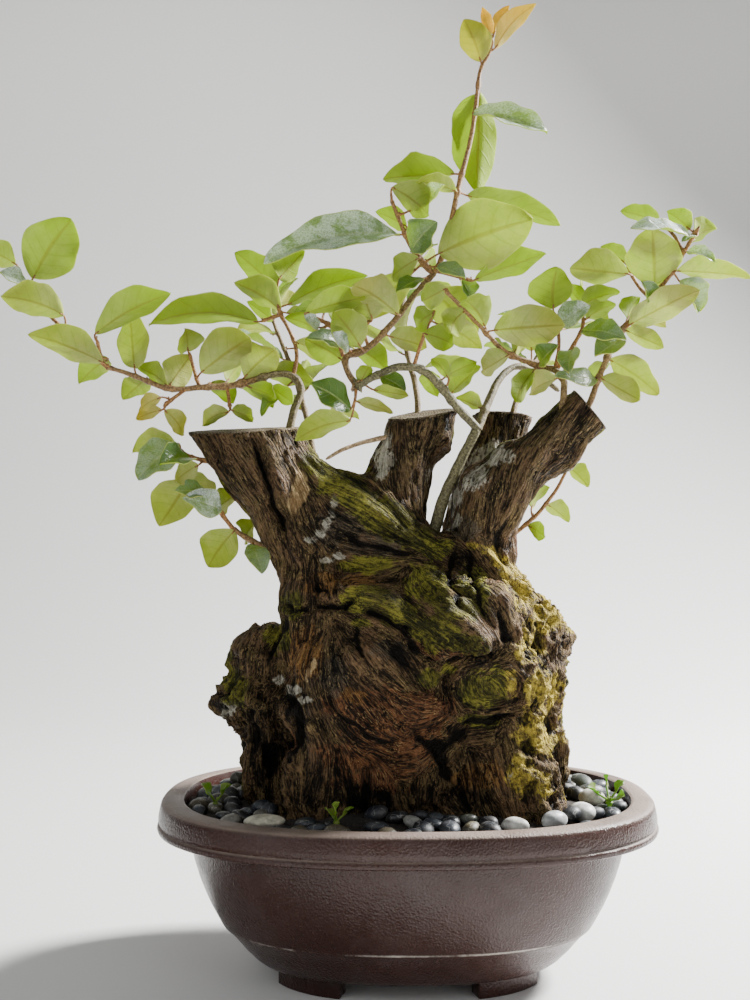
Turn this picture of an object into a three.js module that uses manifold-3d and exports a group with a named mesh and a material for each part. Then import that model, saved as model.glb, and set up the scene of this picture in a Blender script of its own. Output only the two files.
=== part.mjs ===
// A silverberry bonsai in its oval training pot: a gnarled stump with sawn-off limbs, the live
// branches that have sprouted from it, the pebbled soil it stands in, and the pot.
// Millimetres, +Z up, front towards -Y. Everything is laid out round the middle of the pot, and the
// finished group is moved so that its origin is under the middle of its bounding box.
import * as THREE from 'three';
import { mergeVertices } from 'three/addons/utils/BufferGeometryUtils.js';
import Module from 'manifold-3d';

const wasm = await Module();
wasm.setup();

// Driving dimensions
const potLength = 340;
const potDepthShare = 0.765;
const potHeight = 120;
const potWall = 4;
const potSquareness = 2.4;
const potSides = 26;
const footHeight = 11;
const footDepth = 14;
const footInset = 2;
const footFrom = 45;
const footTo = 86;
const drainRadius = 11;
const drainSpacing = 90;
const soilTop = 110;
const clearance = 0.4;
const trunkFoot = 106;
const woodCell = 16;
const woodBlend = 15;
const hollowBlend = 9;
const pebblePitch = 28;
const pebbleRise = 5.5;
const stoneSides = 7;
const leafThickness = 0.7;
const petioleHalfWidth = 0.8;
const shortStalk = 9;
const longLeaf = 58;
const shortLeaf = 24;
const weldDistance = 1e-3;
const sliver = 0.2;

// The eye that the tree was seen with stands in front of it, level with the crown's foot. The
// places of branches and leaves are written as seen on the plane y = 0, and their y then slides
// them along the line of sight.
const eye = new THREE.Vector3(-22, -958, 321);
function seen(x, y, z) {
  const place = new THREE.Vector3(x, 0, z);
  const farther = (y - eye.y) / -eye.y;
  return place.sub(eye).multiplyScalar(farther).add(eye);
}

// A small generator of repeatable random numbers
function randomFrom(seed) {
  let state = seed;
  return () => {
    state = (state + 0x6d2b79f5) | 0;
    let bits = Math.imul(state ^ (state >>> 15), 1 | state);
    bits = (bits + Math.imul(bits ^ (bits >>> 7), 61 | bits)) ^ bits;
    return ((bits ^ (bits >>> 14)) >>> 0) / 4294967296;
  };
}

// Solids
function geometryFrom(points, triangles) {
  const geometry = new THREE.BufferGeometry();
  const flat = points.flatMap((point) => [point.x, point.y, point.z]);
  geometry.setAttribute('position', new THREE.Float32BufferAttribute(flat, 3));
  geometry.setIndex(triangles.flat());
  return geometry;
}

function solidFrom(geometry) {
  const bare = geometry.clone();
  bare.deleteAttribute('normal');
  bare.deleteAttribute('uv');
  const merged = mergeVertices(bare, weldDistance);
  return new wasm.Manifold(new wasm.Mesh({
    numProp: 3,
    vertProperties: new Float32Array(merged.attributes.position.array),
    triVerts: new Uint32Array(merged.index.array),
  }));
}

function geometryOf(solid) {
  const mesh = solid.getMesh();
  const geometry = new THREE.BufferGeometry();
  const positions = new Float32Array(mesh.numVert * 3);
  for (let vertex = 0; vertex < mesh.numVert; vertex += 1) {
    for (let axis = 0; axis < 3; axis += 1) {
      positions[vertex * 3 + axis] = mesh.vertProperties[vertex * mesh.numProp + axis];
    }
  }
  geometry.setAttribute('position', new THREE.BufferAttribute(positions, 3));
  geometry.setIndex(Array.from(mesh.triVerts));
  geometry.computeVertexNormals();
  return geometry;
}

// A closed skin through rings of as many points each, with a fan over the first and the last ring
function skin(rings) {
  const sides = rings[0].length;
  const points = rings.flat();
  const triangles = [];
  for (let ring = 0; ring < rings.length - 1; ring += 1) {
    for (let side = 0; side < sides; side += 1) {
      const next = (side + 1) % sides;
      const lower = ring * sides;
      const upper = lower + sides;
      triangles.push([lower + side, lower + next, upper + next]);
      triangles.push([lower + side, upper + next, upper + side]);
    }
  }
  const first = points.length;
  const last = first + 1;
  points.push(middleOf(rings[0]), middleOf(rings.at(-1)));
  const lastRing = (rings.length - 1) * sides;
  for (let side = 0; side < sides; side += 1) {
    const next = (side + 1) % sides;
    triangles.push([first, next, side]);
    triangles.push([last, lastRing + side, lastRing + next]);
  }
  return geometryFrom(points, triangles);
}

function middleOf(points) {
  const sum = new THREE.Vector3();
  points.forEach((point) => sum.add(point));
  return sum.divideScalar(points.length);
}

// A round-ended oval at height z: halfLength along X, in the pot's proportions, less an inset
function ovalRing(halfLength, z, inset = 0) {
  const along = halfLength - inset;
  const across = halfLength * potDepthShare - inset;
  const ring = [];
  for (let side = 0; side < potSides; side += 1) {
    const turn = (2 * Math.PI * side) / potSides;
    const x = Math.sign(Math.cos(turn)) * Math.abs(Math.cos(turn)) ** (2 / potSquareness);
    const y = Math.sign(Math.sin(turn)) * Math.abs(Math.sin(turn)) ** (2 / potSquareness);
    ring.push(new THREE.Vector3(x * along, y * across, z));
  }
  return ring;
}

function tubeAlong(points, radii, sides) {
  const rings = [];
  let across = new THREE.Vector3(1, 0.3, 0.1);
  points.forEach((point, index) => {
    const before = points[Math.max(index - 1, 0)];
    const after = points[Math.min(index + 1, points.length - 1)];
    const inward = point.clone().sub(before).normalize();
    const outward = after.clone().sub(point).normalize();
    const heading = inward.add(outward).normalize();
    across = across.clone().addScaledVector(heading, -across.dot(heading)).normalize();
    const other = heading.clone().cross(across);
    const ring = [];
    for (let side = 0; side < sides; side += 1) {
      const turn = (2 * Math.PI * side) / sides;
      ring.push(point.clone()
        .addScaledVector(across, radii[index] * Math.cos(turn))
        .addScaledVector(other, radii[index] * Math.sin(turn)));
    }
    rings.push(ring);
  });
  return skin(rings);
}

// The pot
// Half-length and height of each ring, up the outside: base, step, crease, belly, soffit, bead,
// groove and rim
const potOutside = [
  [96, 11], [107, 16], [116, 26], [127, 36], [136, 53], [144.7, 79], [148, 97],
  [169, 99.5], [170, 102], [168, 104.5], [169.2, 107], [166, 118],
];
const potInside = [
  [152, potHeight], [150, 112], [144, 97], [132, 53], [118, 30], [94, 15],
];

function makePot() {
  const rings = [...potOutside, ...potInside].map(([half, z]) => ovalRing(half, z));
  let pot = solidFrom(skin(rings));
  for (const side of [-1, 1]) {
    for (const front of [-1, 1]) {
      pot = pot.add(solidFrom(makeFoot(side, front)));
    }
    const drill = new THREE.CylinderGeometry(drainRadius, drainRadius, footHeight + potWall * 2, 16);
    drill.rotateX(Math.PI / 2);
    drill.translate((side * drainSpacing) / 2, 0, footHeight + potWall);
    pot = pot.subtract(solidFrom(drill));
  }
  return geometryOf(pot);
}

// A foot follows the edge of the base
function makeFoot(side, front) {
  const steps = 5;
  const along = potOutside[0][0] - footInset;
  const across = along * potDepthShare;
  const edge = (x) => across * (1 - (x / along) ** potSquareness) ** (1 / potSquareness);
  const outer = [];
  const inner = [];
  for (let step = 0; step <= steps; step += 1) {
    const x = footFrom + ((footTo - footFrom) * step) / steps;
    outer.push(new THREE.Vector2(side * x, front * edge(x)));
    inner.push(new THREE.Vector2(side * (x - 4), front * (edge(x) - footDepth)));
  }
  const outline = new THREE.Shape([...outer, ...inner.reverse()]);
  return new THREE.ExtrudeGeometry(outline, { depth: footHeight + potWall / 2, bevelEnabled: false });
}

// The stump
// Burls are ellipsoids [x, y, z, half-width, half-depth, half-height]
const burls = [
  [-8, 0, 150, 100, 64, 66],
  [4, 4, 214, 84, 60, 72],
  [70, 4, 212, 42, 46, 52],
  [74, -8, 150, 36, 44, 56],
  [-101, 6, 184, 31, 34, 24],
  [-92, 8, 212, 30, 32, 20],
  [-93, -4, 138, 20, 28, 44],
  [-56, -42, 128, 26, 26, 46],
  [58, -44, 126, 38, 24, 34],
  [-30, -38, 186, 50, 42, 60],
  [57, -46, 191, 30, 20, 22],
  [-20, 40, 170, 60, 36, 56],
  [40, 44, 140, 46, 30, 50],
];
// Limbs and rolls of wood taper from the first girth to the second (radii)
const limbs = [
  { from: [-64, -26, 238], to: [-64, -12, 296], girth: [22, 21] },
  { from: [-64, -6, 284], to: [-142, -2, 398], girth: [21, 27] },
  { from: [-58, 4, 284], to: [-104, 8, 400], girth: [20, 15] },
  { from: [-84, 6, 350], to: [-38, -4, 302], girth: [13, 29] },
  { from: [-38, -4, 302], to: [24, -10, 262], girth: [29, 30] },
  { from: [-15, 16, 296], to: [22, 18, 408], girth: [24, 21] },
  { from: [50, 38, 280], to: [76, 50, 410], girth: [26, 18] },
  { from: [46, -2, 262], to: [57, -2, 320], girth: [28, 21] },
  { from: [56, -2, 322], to: [140, -8, 395], girth: [21, 17] },
  { from: [-36, -36, 250], to: [42, -46, 238], girth: [20, 27] },
  { from: [42, -46, 238], to: [68, -44, 200], girth: [27, 22] },
  { from: [-84, -30, 176], to: [-60, -52, 120], girth: [14, 20] },
  { from: [66, -40, 168], to: [84, -52, 118], girth: [16, 20] },
];
const hollows = [
  [30, -74, 146, 13, 20, 32],
  [-88, -40, 152, 13, 18, 34],
  [-30, -54, 304, 34, 16, 13],
  [57, -71, 191, 23, 6, 14],
  [-12, 78, 236, 22, 18, 34],
  [24, 4, 334, 9, 30, 26],
];
// Each sawn end: a point on the cut, the way it faces, and how far round the cut the saw reaches
const sawCuts = [
  { at: [-118, -2, 369], facing: [-0.04, -0.1, 1], reach: 62 },
  { at: [14, 17, 382], facing: [-0.12, -0.16, 1], reach: 32 },
  { at: [72, 48, 382], facing: [0.05, 0.1, 1], reach: 24 },
  { at: [125, -7, 384], facing: [0.77, -0.1, 0.64], reach: 34 },
];
const gnarlDepth = 2.8;
const gnarlSize = 21;

function ellipsoidDistance(point, [x, y, z, width, depth, height]) {
  const local = new THREE.Vector3(point.x - x, point.y - y, point.z - z);
  const scaled = new THREE.Vector3(local.x / width, local.y / depth, local.z / height);
  const steep = new THREE.Vector3(scaled.x / width, scaled.y / depth, scaled.z / height);
  const reach = scaled.length();
  return (reach * (reach - 1)) / Math.max(steep.length(), 1e-6);
}

function limbDistance(point, { from, to, girth }) {
  const start = new THREE.Vector3(...from);
  const run = new THREE.Vector3(...to).sub(start);
  const local = point.clone().sub(start);
  const share = THREE.MathUtils.clamp(local.dot(run) / run.lengthSq(), 0, 1);
  return local.addScaledVector(run, -share).length() - THREE.MathUtils.lerp(...girth, share);
}

// The lesser of two distances, rounded over where they are close
function blend(near, far, width) {
  const overlap = Math.max(width - Math.abs(near - far), 0) / width;
  return Math.min(near, far) - (overlap * overlap * width) / 4;
}

function gnarl(point) {
  const swirl = 1.3 * Math.sin(point.z / gnarlSize + point.x / (2 * gnarlSize));
  const ridges = Math.sin(point.x / (gnarlSize * 0.55) + swirl) * Math.cos(point.y / gnarlSize - swirl);
  const lumps = Math.sin(point.z / (gnarlSize * 0.7) + 2 * swirl + point.y / gnarlSize);
  return gnarlDepth * (0.6 * ridges + 0.5 * lumps);
}

function woodDistance(point) {
  let distance = Infinity;
  burls.forEach((burl) => {
    distance = distance === Infinity
      ? ellipsoidDistance(point, burl)
      : blend(distance, ellipsoidDistance(point, burl), woodBlend);
  });
  limbs.forEach((limb) => {
    distance = blend(distance, limbDistance(point, limb), woodBlend);
  });
  hollows.forEach((hollow) => {
    distance = -blend(-distance, ellipsoidDistance(point, hollow), hollowBlend);
  });
  return distance + gnarl(point);
}

function woodSlope(point) {
  const step = 0.5;
  const slope = new THREE.Vector3();
  ['x', 'y', 'z'].forEach((axis) => {
    const ahead = point.clone();
    ahead[axis] += step;
    const behind = point.clone();
    behind[axis] -= step;
    slope[axis] = (woodDistance(ahead) - woodDistance(behind)) / (2 * step);
  });
  return slope;
}

// The wood's surface as a net: one point in each cell that the surface passes through, joined
// across every grid edge that it crosses
const woodLow = new THREE.Vector3(-195, -98, 55);
const woodCells = [26, 14, 27];

function makeWoodNet() {
  const [countX, countY, countZ] = woodCells.map((cells) => cells + 1);
  const cornerAt = (i, j, k) => woodLow.clone().add(new THREE.Vector3(i, j, k).multiplyScalar(woodCell));
  const indexOf = (i, j, k) => (k * countY + j) * countX + i;
  const distances = new Float64Array(countX * countY * countZ);
  for (let k = 0; k < countZ; k += 1) {
    for (let j = 0; j < countY; j += 1) {
      for (let i = 0; i < countX; i += 1) {
        distances[indexOf(i, j, k)] = woodDistance(cornerAt(i, j, k));
      }
    }
  }
  fillSaddles(distances, [countX, countY, countZ], indexOf);
  const inside = (corner) => distances[indexOf(...corner)] < 0;
  const crossing = (one, other) => {
    const [near, far] = [distances[indexOf(...one)], distances[indexOf(...other)]];
    return cornerAt(...one).lerp(cornerAt(...other), near / (near - far));
  };
  const points = [];
  const cellPoint = new Map();
  const pointIn = (i, j, k) => {
    const cell = indexOf(i, j, k);
    if (!cellPoint.has(cell)) {
      const met = [];
      for (const [dx, dy, dz] of cubeEdges) {
        for (const start of edgeStarts(dx, dy, dz)) {
          const one = [i + start[0], j + start[1], k + start[2]];
          const other = [one[0] + dx, one[1] + dy, one[2] + dz];
          if (inside(one) !== inside(other)) met.push(crossing(one, other));
        }
      }
      cellPoint.set(cell, points.length);
      points.push(settle(middleOf(met)));
    }
    return cellPoint.get(cell);
  };
  const triangles = [];
  for (let k = 1; k < countZ - 1; k += 1) {
    for (let j = 1; j < countY - 1; j += 1) {
      for (let i = 1; i < countX - 1; i += 1) {
        cubeEdges.forEach(([dx, dy, dz]) => {
          const here = [i, j, k];
          const there = [i + dx, j + dy, k + dz];
          if (inside(here) === inside(there)) return;
          const [a, b] = [[dy, dz, dx], [dz, dx, dy]];
          const quad = [
            pointIn(i - a[0] - b[0], j - a[1] - b[1], k - a[2] - b[2]),
            pointIn(i - b[0], j - b[1], k - b[2]),
            pointIn(i, j, k),
            pointIn(i - a[0], j - a[1], k - a[2]),
          ];
          if (inside(here)) quad.reverse();
          triangles.push(...splitQuad(quad, points));
        });
      }
    }
  }
  return { points, triangles };
}

const cubeEdges = [[1, 0, 0], [0, 1, 0], [0, 0, 1]];

// A grid square whose corners are in and out of the wood by turns would pinch the net, so the
// outer corner that is nearer to the wood is taken into it
function fillSaddles(distances, [countX, countY, countZ], indexOf) {
  let filled = true;
  while (filled) {
    filled = false;
    for (let k = 0; k < countZ - 1; k += 1) {
      for (let j = 0; j < countY - 1; j += 1) {
        for (let i = 0; i < countX - 1; i += 1) {
          cubeEdges.forEach(([dx, dy, dz]) => {
            const square = [
              indexOf(i, j, k), indexOf(i + dx, j + dy, k + dz),
              indexOf(i + dx + dy, j + dy + dz, k + dz + dx), indexOf(i + dy, j + dz, k + dx),
            ];
            const [a, b, c, d] = square.map((corner) => distances[corner] < 0);
            if (a !== c || b !== d || a === b) return;
            const outer = a ? [square[1], square[3]] : [square[0], square[2]];
            const nearer = distances[outer[0]] < distances[outer[1]] ? outer[0] : outer[1];
            distances[nearer] = -0.1;
            filled = true;
          });
        }
      }
    }
  }
}

function edgeStarts(dx, dy, dz) {
  const starts = [];
  for (const one of [0, 1]) {
    for (const other of [0, 1]) {
      if (dx) starts.push([0, one, other]);
      if (dy) starts.push([one, 0, other]);
      if (dz) starts.push([one, other, 0]);
    }
  }
  return starts;
}

function splitQuad([a, b, c, d], points) {
  const shortWay = points[a].distanceTo(points[c]) <= points[b].distanceTo(points[d]);
  return shortWay ? [[a, b, c], [a, c, d]] : [[a, b, d], [b, c, d]];
}

function settle(point) {
  const settled = point.clone();
  const furthest = woodCell * 0.4;
  for (let round = 0; round < 2; round += 1) {
    const slope = woodSlope(settled);
    settled.addScaledVector(slope, -woodDistance(settled) / Math.max(slope.lengthSq(), 0.1));
  }
  const moved = settled.sub(point);
  moved.clampLength(0, furthest);
  return moved.add(point);
}

function boxFacing(at, facing, reach, depth) {
  const box = new THREE.BoxGeometry(reach * 2, reach * 2, depth);
  box.translate(0, 0, depth / 2);
  const turn = new THREE.Quaternion()
    .setFromUnitVectors(new THREE.Vector3(0, 0, 1), new THREE.Vector3(...facing).normalize());
  box.applyQuaternion(turn);
  box.translate(...at);
  return box;
}

// The stump, grown outwards by a gap where it is to cut its own place in the soil
function makeStump(net, gap) {
  const points = net.points.map((point) => {
    return gap ? point.clone().addScaledVector(woodSlope(point).normalize(), gap) : point;
  });
  let stump = solidFrom(geometryFrom(points, net.triangles));
  sawCuts.forEach(({ at, facing, reach }) => {
    stump = stump.subtract(solidFrom(boxFacing(at, facing, reach, 60)));
  });
  const ground = new THREE.BoxGeometry(400, 300, 60);
  ground.translate(0, 0, trunkFoot - gap - 30);
  return stump.subtract(solidFrom(ground));
}

// Soil and pebbles
// How high the pebbles' bed lies at each half-length of the oval: low at the rim, banked up
// round the trunk
const moundRings = [[150, 111.5], [132, 114], [100, 118], [60, 120], [20, 120.5]];
const lightStones = [
  { at: [-92, -80, 118], size: [13, 9, 4], turn: 0.2, colour: 0xcfc9b4 },
  { at: [92, -78, 118], size: [9, 7, 6], turn: 0.6, colour: 0xb9bcbd },
  { at: [112, -58, 119], size: [8, 11, 6], turn: 0.3, colour: 0xd6d2c8 },
  { at: [66, -88, 117], size: [9, 6, 5], turn: -0.4, colour: 0xc3c5c6 },
  { at: [124, -20, 120], size: [8, 9, 6], turn: 1.1, colour: 0x9a9c98 },
];

function makeSoil(stumpPlace) {
  const inside = [...potInside.slice(2).reverse(), [149.2, soilTop]];
  const rings = inside.map(([half, z], index) => ovalRing(half, index ? z : z + clearance, clearance));
  return solidFrom(skin(rings)).subtract(stumpPlace);
}

function moundHeight(x, y) {
  const reach = (Math.abs(x) ** potSquareness + Math.abs(y / potDepthShare) ** potSquareness)
    ** (1 / potSquareness);
  const outer = moundRings.findIndex(([half], index) => index > 0 && half <= reach);
  if (outer < 0) return moundRings.at(-1)[1];
  const [[farHalf, farZ], [nearHalf, nearZ]] = [moundRings[outer - 1], moundRings[outer]];
  return THREE.MathUtils.mapLinear(reach, farHalf, nearHalf, farZ, nearZ);
}

function stone(at, [length, width, height], turn) {
  const levels = [[0.8, -0.8], [1, -0.35], [0.62, 0.75]];
  const rings = levels.map(([spread, rise]) => {
    const ring = [];
    for (let side = 0; side < stoneSides; side += 1) {
      const angle = (2 * Math.PI * side) / stoneSides;
      const x = length * spread * Math.cos(angle);
      const y = width * spread * Math.sin(angle);
      ring.push(new THREE.Vector3(
        at[0] + x * Math.cos(turn) - y * Math.sin(turn),
        at[1] + x * Math.sin(turn) + y * Math.cos(turn),
        at[2] + height * rise,
      ));
    }
    return ring;
  });
  return skin(rings);
}

// Pebbles packed side by side: a wandering three-way lattice of stones, each a low dome with
// six faces that meets its neighbours in the cracks between them
function makePebbleLayer() {
  const random = randomFrom(7);
  const rowPitch = pebblePitch * Math.sqrt(0.75);
  const across = Math.ceil(potLength / pebblePitch) + 2;
  const rows = Math.ceil((potLength * potDepthShare) / rowPitch) + 2;
  const centres = [];
  for (let row = 0; row < rows; row += 1) {
    for (let column = 0; column < across; column += 1) {
      const x = (column - across / 2 + (row % 2) / 2 + 0.42 * (random() - 0.5)) * pebblePitch;
      const y = (row - rows / 2 + 0.42 * (random() - 0.5)) * rowPitch;
      centres.push([x, y, pebbleRise * (0.75 + 0.5 * random())]);
    }
  }
  const points = [];
  const addPoint = (x, y, rise) => points.push(new THREE.Vector3(x, y, moundHeight(x, y) + rise)) - 1;
  // A crack point stands in the middle of each three neighbouring stones
  const cracks = new Map();
  const crackBetween = (...stones) => {
    const key = stones.sort((one, other) => one - other).join();
    if (!cracks.has(key)) {
      const [x, y] = [0, 1].map((axis) => stones.reduce((sum, at) => sum + centres[at][axis] / 3, 0));
      cracks.set(key, addPoint(x, y, -1.5));
    }
    return cracks.get(key);
  };
  const triangles = [];
  for (let row = 1; row < rows - 1; row += 1) {
    for (let column = 1; column < across - 1; column += 1) {
      const here = row * across + column;
      const shift = row % 2;
      const around = [
        here + 1, here + across + shift, here + across + shift - 1,
        here - 1, here - across + shift - 1, here - across + shift,
      ];
      const [x, y, rise] = centres[here];
      const top = addPoint(x, y, rise);
      const edge = around.map((next, index) => crackBetween(here, next, around[(index + 1) % 6]));
      edge.forEach((crack, index) => triangles.push([crack, edge[(index + 1) % 6], top]));
    }
  }
  return solidFrom(geometryFrom(...closedBelow(points, triangles, soilTop - 5)));
}

// Walls and a floor under an open sheet, at height z
function closedBelow(points, triangles, z) {
  const count = points.length;
  const floor = points.map((point) => new THREE.Vector3(point.x, point.y, z));
  const edges = new Set(triangles.flatMap(([a, b, c]) => [`${a},${b}`, `${b},${c}`, `${c},${a}`]));
  const closed = triangles.flatMap(([a, b, c]) => [[a, b, c], [a + count, c + count, b + count]]);
  edges.forEach((edge) => {
    const [from, to] = edge.split(',').map(Number);
    if (edges.has(`${to},${from}`)) return;
    closed.push([to, from, from + count], [to, from + count, to + count]);
  });
  return [[...points, ...floor], closed];
}

// A prism that stands a little clear of the wood all round, where it comes out of the pebbles
function makeTrunkCollar() {
  const sides = 44;
  const levels = [soilTop, soilTop + 6, soilTop + 12, soilTop + 17];
  const furthest = 140;
  const outline = [];
  for (let side = 0; side < sides; side += 1) {
    const angle = (2 * Math.PI * side) / sides;
    const at = (reach, z) => new THREE.Vector3(reach * Math.cos(angle), reach * Math.sin(angle), z);
    let reach = furthest;
    while (levels.every((z) => woodDistance(at(reach, z)) > 2.5)) reach -= 1;
    outline.push(at(reach + 0.5, 0));
  }
  const rings = [soilTop - 5, potHeight + 30].map((z) => outline.map((point) => point.clone().setZ(z)));
  return solidFrom(skin(rings));
}

function makeGravel(stemPlaces) {
  const sides = [[149.2, soilTop + clearance], [153, potHeight + 6]];
  const rings = sides.map(([half, z]) => ovalRing(half, z, clearance * 2));
  let gravel = solidFrom(skin(rings)).intersect(makePebbleLayer()).subtract(makeTrunkCollar());
  lightStones.forEach(({ at, size, turn }) => {
    const room = size.map((half) => half + clearance * 1.3);
    gravel = gravel.subtract(solidFrom(stone(at, room, turn)));
  });
  stemPlaces.forEach((place) => {
    gravel = gravel.subtract(solidFrom(place));
  });
  return largestPiece(gravel.simplify(sliver));
}

function largestPiece(solid) {
  const pieces = solid.decompose();
  pieces.sort((one, other) => other.volume() - one.volume());
  return pieces[0];
}

// Leaves
// A leaf is written [base x, y, z, tip x, y, z, width, turn]. The turn is where its upper face
// looks: 0 up, 90 to the front, -90 to the back.
const leafStations = { long: [0.2, 0.5, 0.8], middling: [0.32, 0.72], short: [0.5] };
const leafArch = 0.07;
const leafFold = 0.16;
const leafWave = 0.06;

// Half the width of a blade at a share of its length: oblong, with a round base and a blunt tip
function leafHalf(share) {
  return 0.5 * Math.sin(Math.PI * share ** 0.92) ** 0.7;
}

function leafFrame(base, tip, turn) {
  const along = tip.clone().sub(base).normalize();
  const front = new THREE.Vector3(0, -1, 0);
  front.addScaledVector(along, -front.dot(along));
  if (front.length() < 0.2) front.set(0, 0, 1).addScaledVector(along, -along.z);
  front.normalize();
  const rise = along.clone().cross(front);
  if (rise.z + 0.001 * rise.x < 0) rise.negate();
  const angle = THREE.MathUtils.degToRad(turn);
  const normal = front.multiplyScalar(Math.sin(angle)).addScaledVector(rise, Math.cos(angle));
  const side = normal.clone().cross(along);
  return { along, normal, side };
}

function pairAcross(point, side) {
  return [-1, 1].map((sign) => point.clone().addScaledVector(side, sign * petioleHalfWidth));
}

function stationsFor(length) {
  if (length > longLeaf) return leafStations.long;
  return length > shortLeaf ? leafStations.middling : leafStations.short;
}

// One leaf with its stalk, from a root inside the twig to the tip: a sheet, thickened both ways
function makeLeaf(root, base, tip, width, turn, phase) {
  const { normal, side } = leafFrame(base, tip, turn);
  const length = base.distanceTo(tip);
  const rows = [[root]];
  if (root.distanceTo(base) > shortStalk) rows.push(pairAcross(base, side));
  const stations = stationsFor(length);
  stations.forEach((share) => {
    const half = width * leafHalf(share);
    const middle = base.clone().lerp(tip, share)
      .addScaledVector(normal, length * leafArch * 4 * share * (1 - share));
    const edge = (sign) => {
      const wave = leafWave * width * Math.sin(9 * share + phase + sign * 1.2);
      return middle.clone().addScaledVector(side, sign * half)
        .addScaledVector(normal, half * 2 * leafFold + wave);
    };
    rows.push([edge(-1), middle, edge(1)]);
  });
  rows.push([tip]);
  return thickSheet(rows, leafThickness);
}

// A sheet of rows of points, each row from left to right, made into a closed slab
function thickSheet(rows, thickness) {
  const sheet = rows.flat();
  const starts = rows.map((row, index) => rows.slice(0, index).flat().length);
  const faces = [];
  for (let row = 0; row < rows.length - 1; row += 1) {
    faces.push(...stitch(rows[row].length, rows[row + 1].length, starts[row], starts[row + 1]));
  }
  const normals = sheet.map(() => new THREE.Vector3());
  faces.forEach(([a, b, c]) => {
    const normal = sheet[b].clone().sub(sheet[a]).cross(sheet[c].clone().sub(sheet[a]));
    [a, b, c].forEach((corner) => normals[corner].add(normal));
  });
  normals.forEach((normal) => normal.setLength(thickness / 2));
  const upper = sheet.map((point, index) => point.clone().add(normals[index]));
  const lower = sheet.map((point, index) => point.clone().sub(normals[index]));
  const count = sheet.length;
  const triangles = faces.flatMap(([a, b, c]) => [[a, b, c], [a + count, c + count, b + count]]);
  const lefts = rows.map((row, index) => starts[index]);
  const rights = rows.map((row, index) => starts[index] + row.length - 1);
  const rim = [...rights, ...lefts.slice(0, -1).reverse()];
  rim.forEach((point, index) => {
    const next = rim[(index + 1) % rim.length];
    triangles.push([next, point, point + count], [next, point + count, next + count]);
  });
  return geometryFrom([...upper, ...lower], triangles);
}

// Faces between two neighbouring rows of one, two or three points
function stitch(lowerCount, upperCount, lower, upper) {
  if (lowerCount === 1) {
    return [...Array(upperCount - 1).keys()].map((i) => [lower, upper + i + 1, upper + i]);
  }
  if (lowerCount === upperCount) {
    return [...Array(lowerCount - 1).keys()].flatMap((i) => [
      [lower + i, lower + i + 1, upper + i + 1], [lower + i, upper + i + 1, upper + i],
    ]);
  }
  if (upperCount === 1) {
    return [...Array(lowerCount - 1).keys()].map((i) => [lower + i, lower + i + 1, upper]);
  }
  return [[lower, lower + 1, upper + 1], [lower, upper + 1, upper], [lower + 1, upper + 2, upper + 1]];
}

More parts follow.
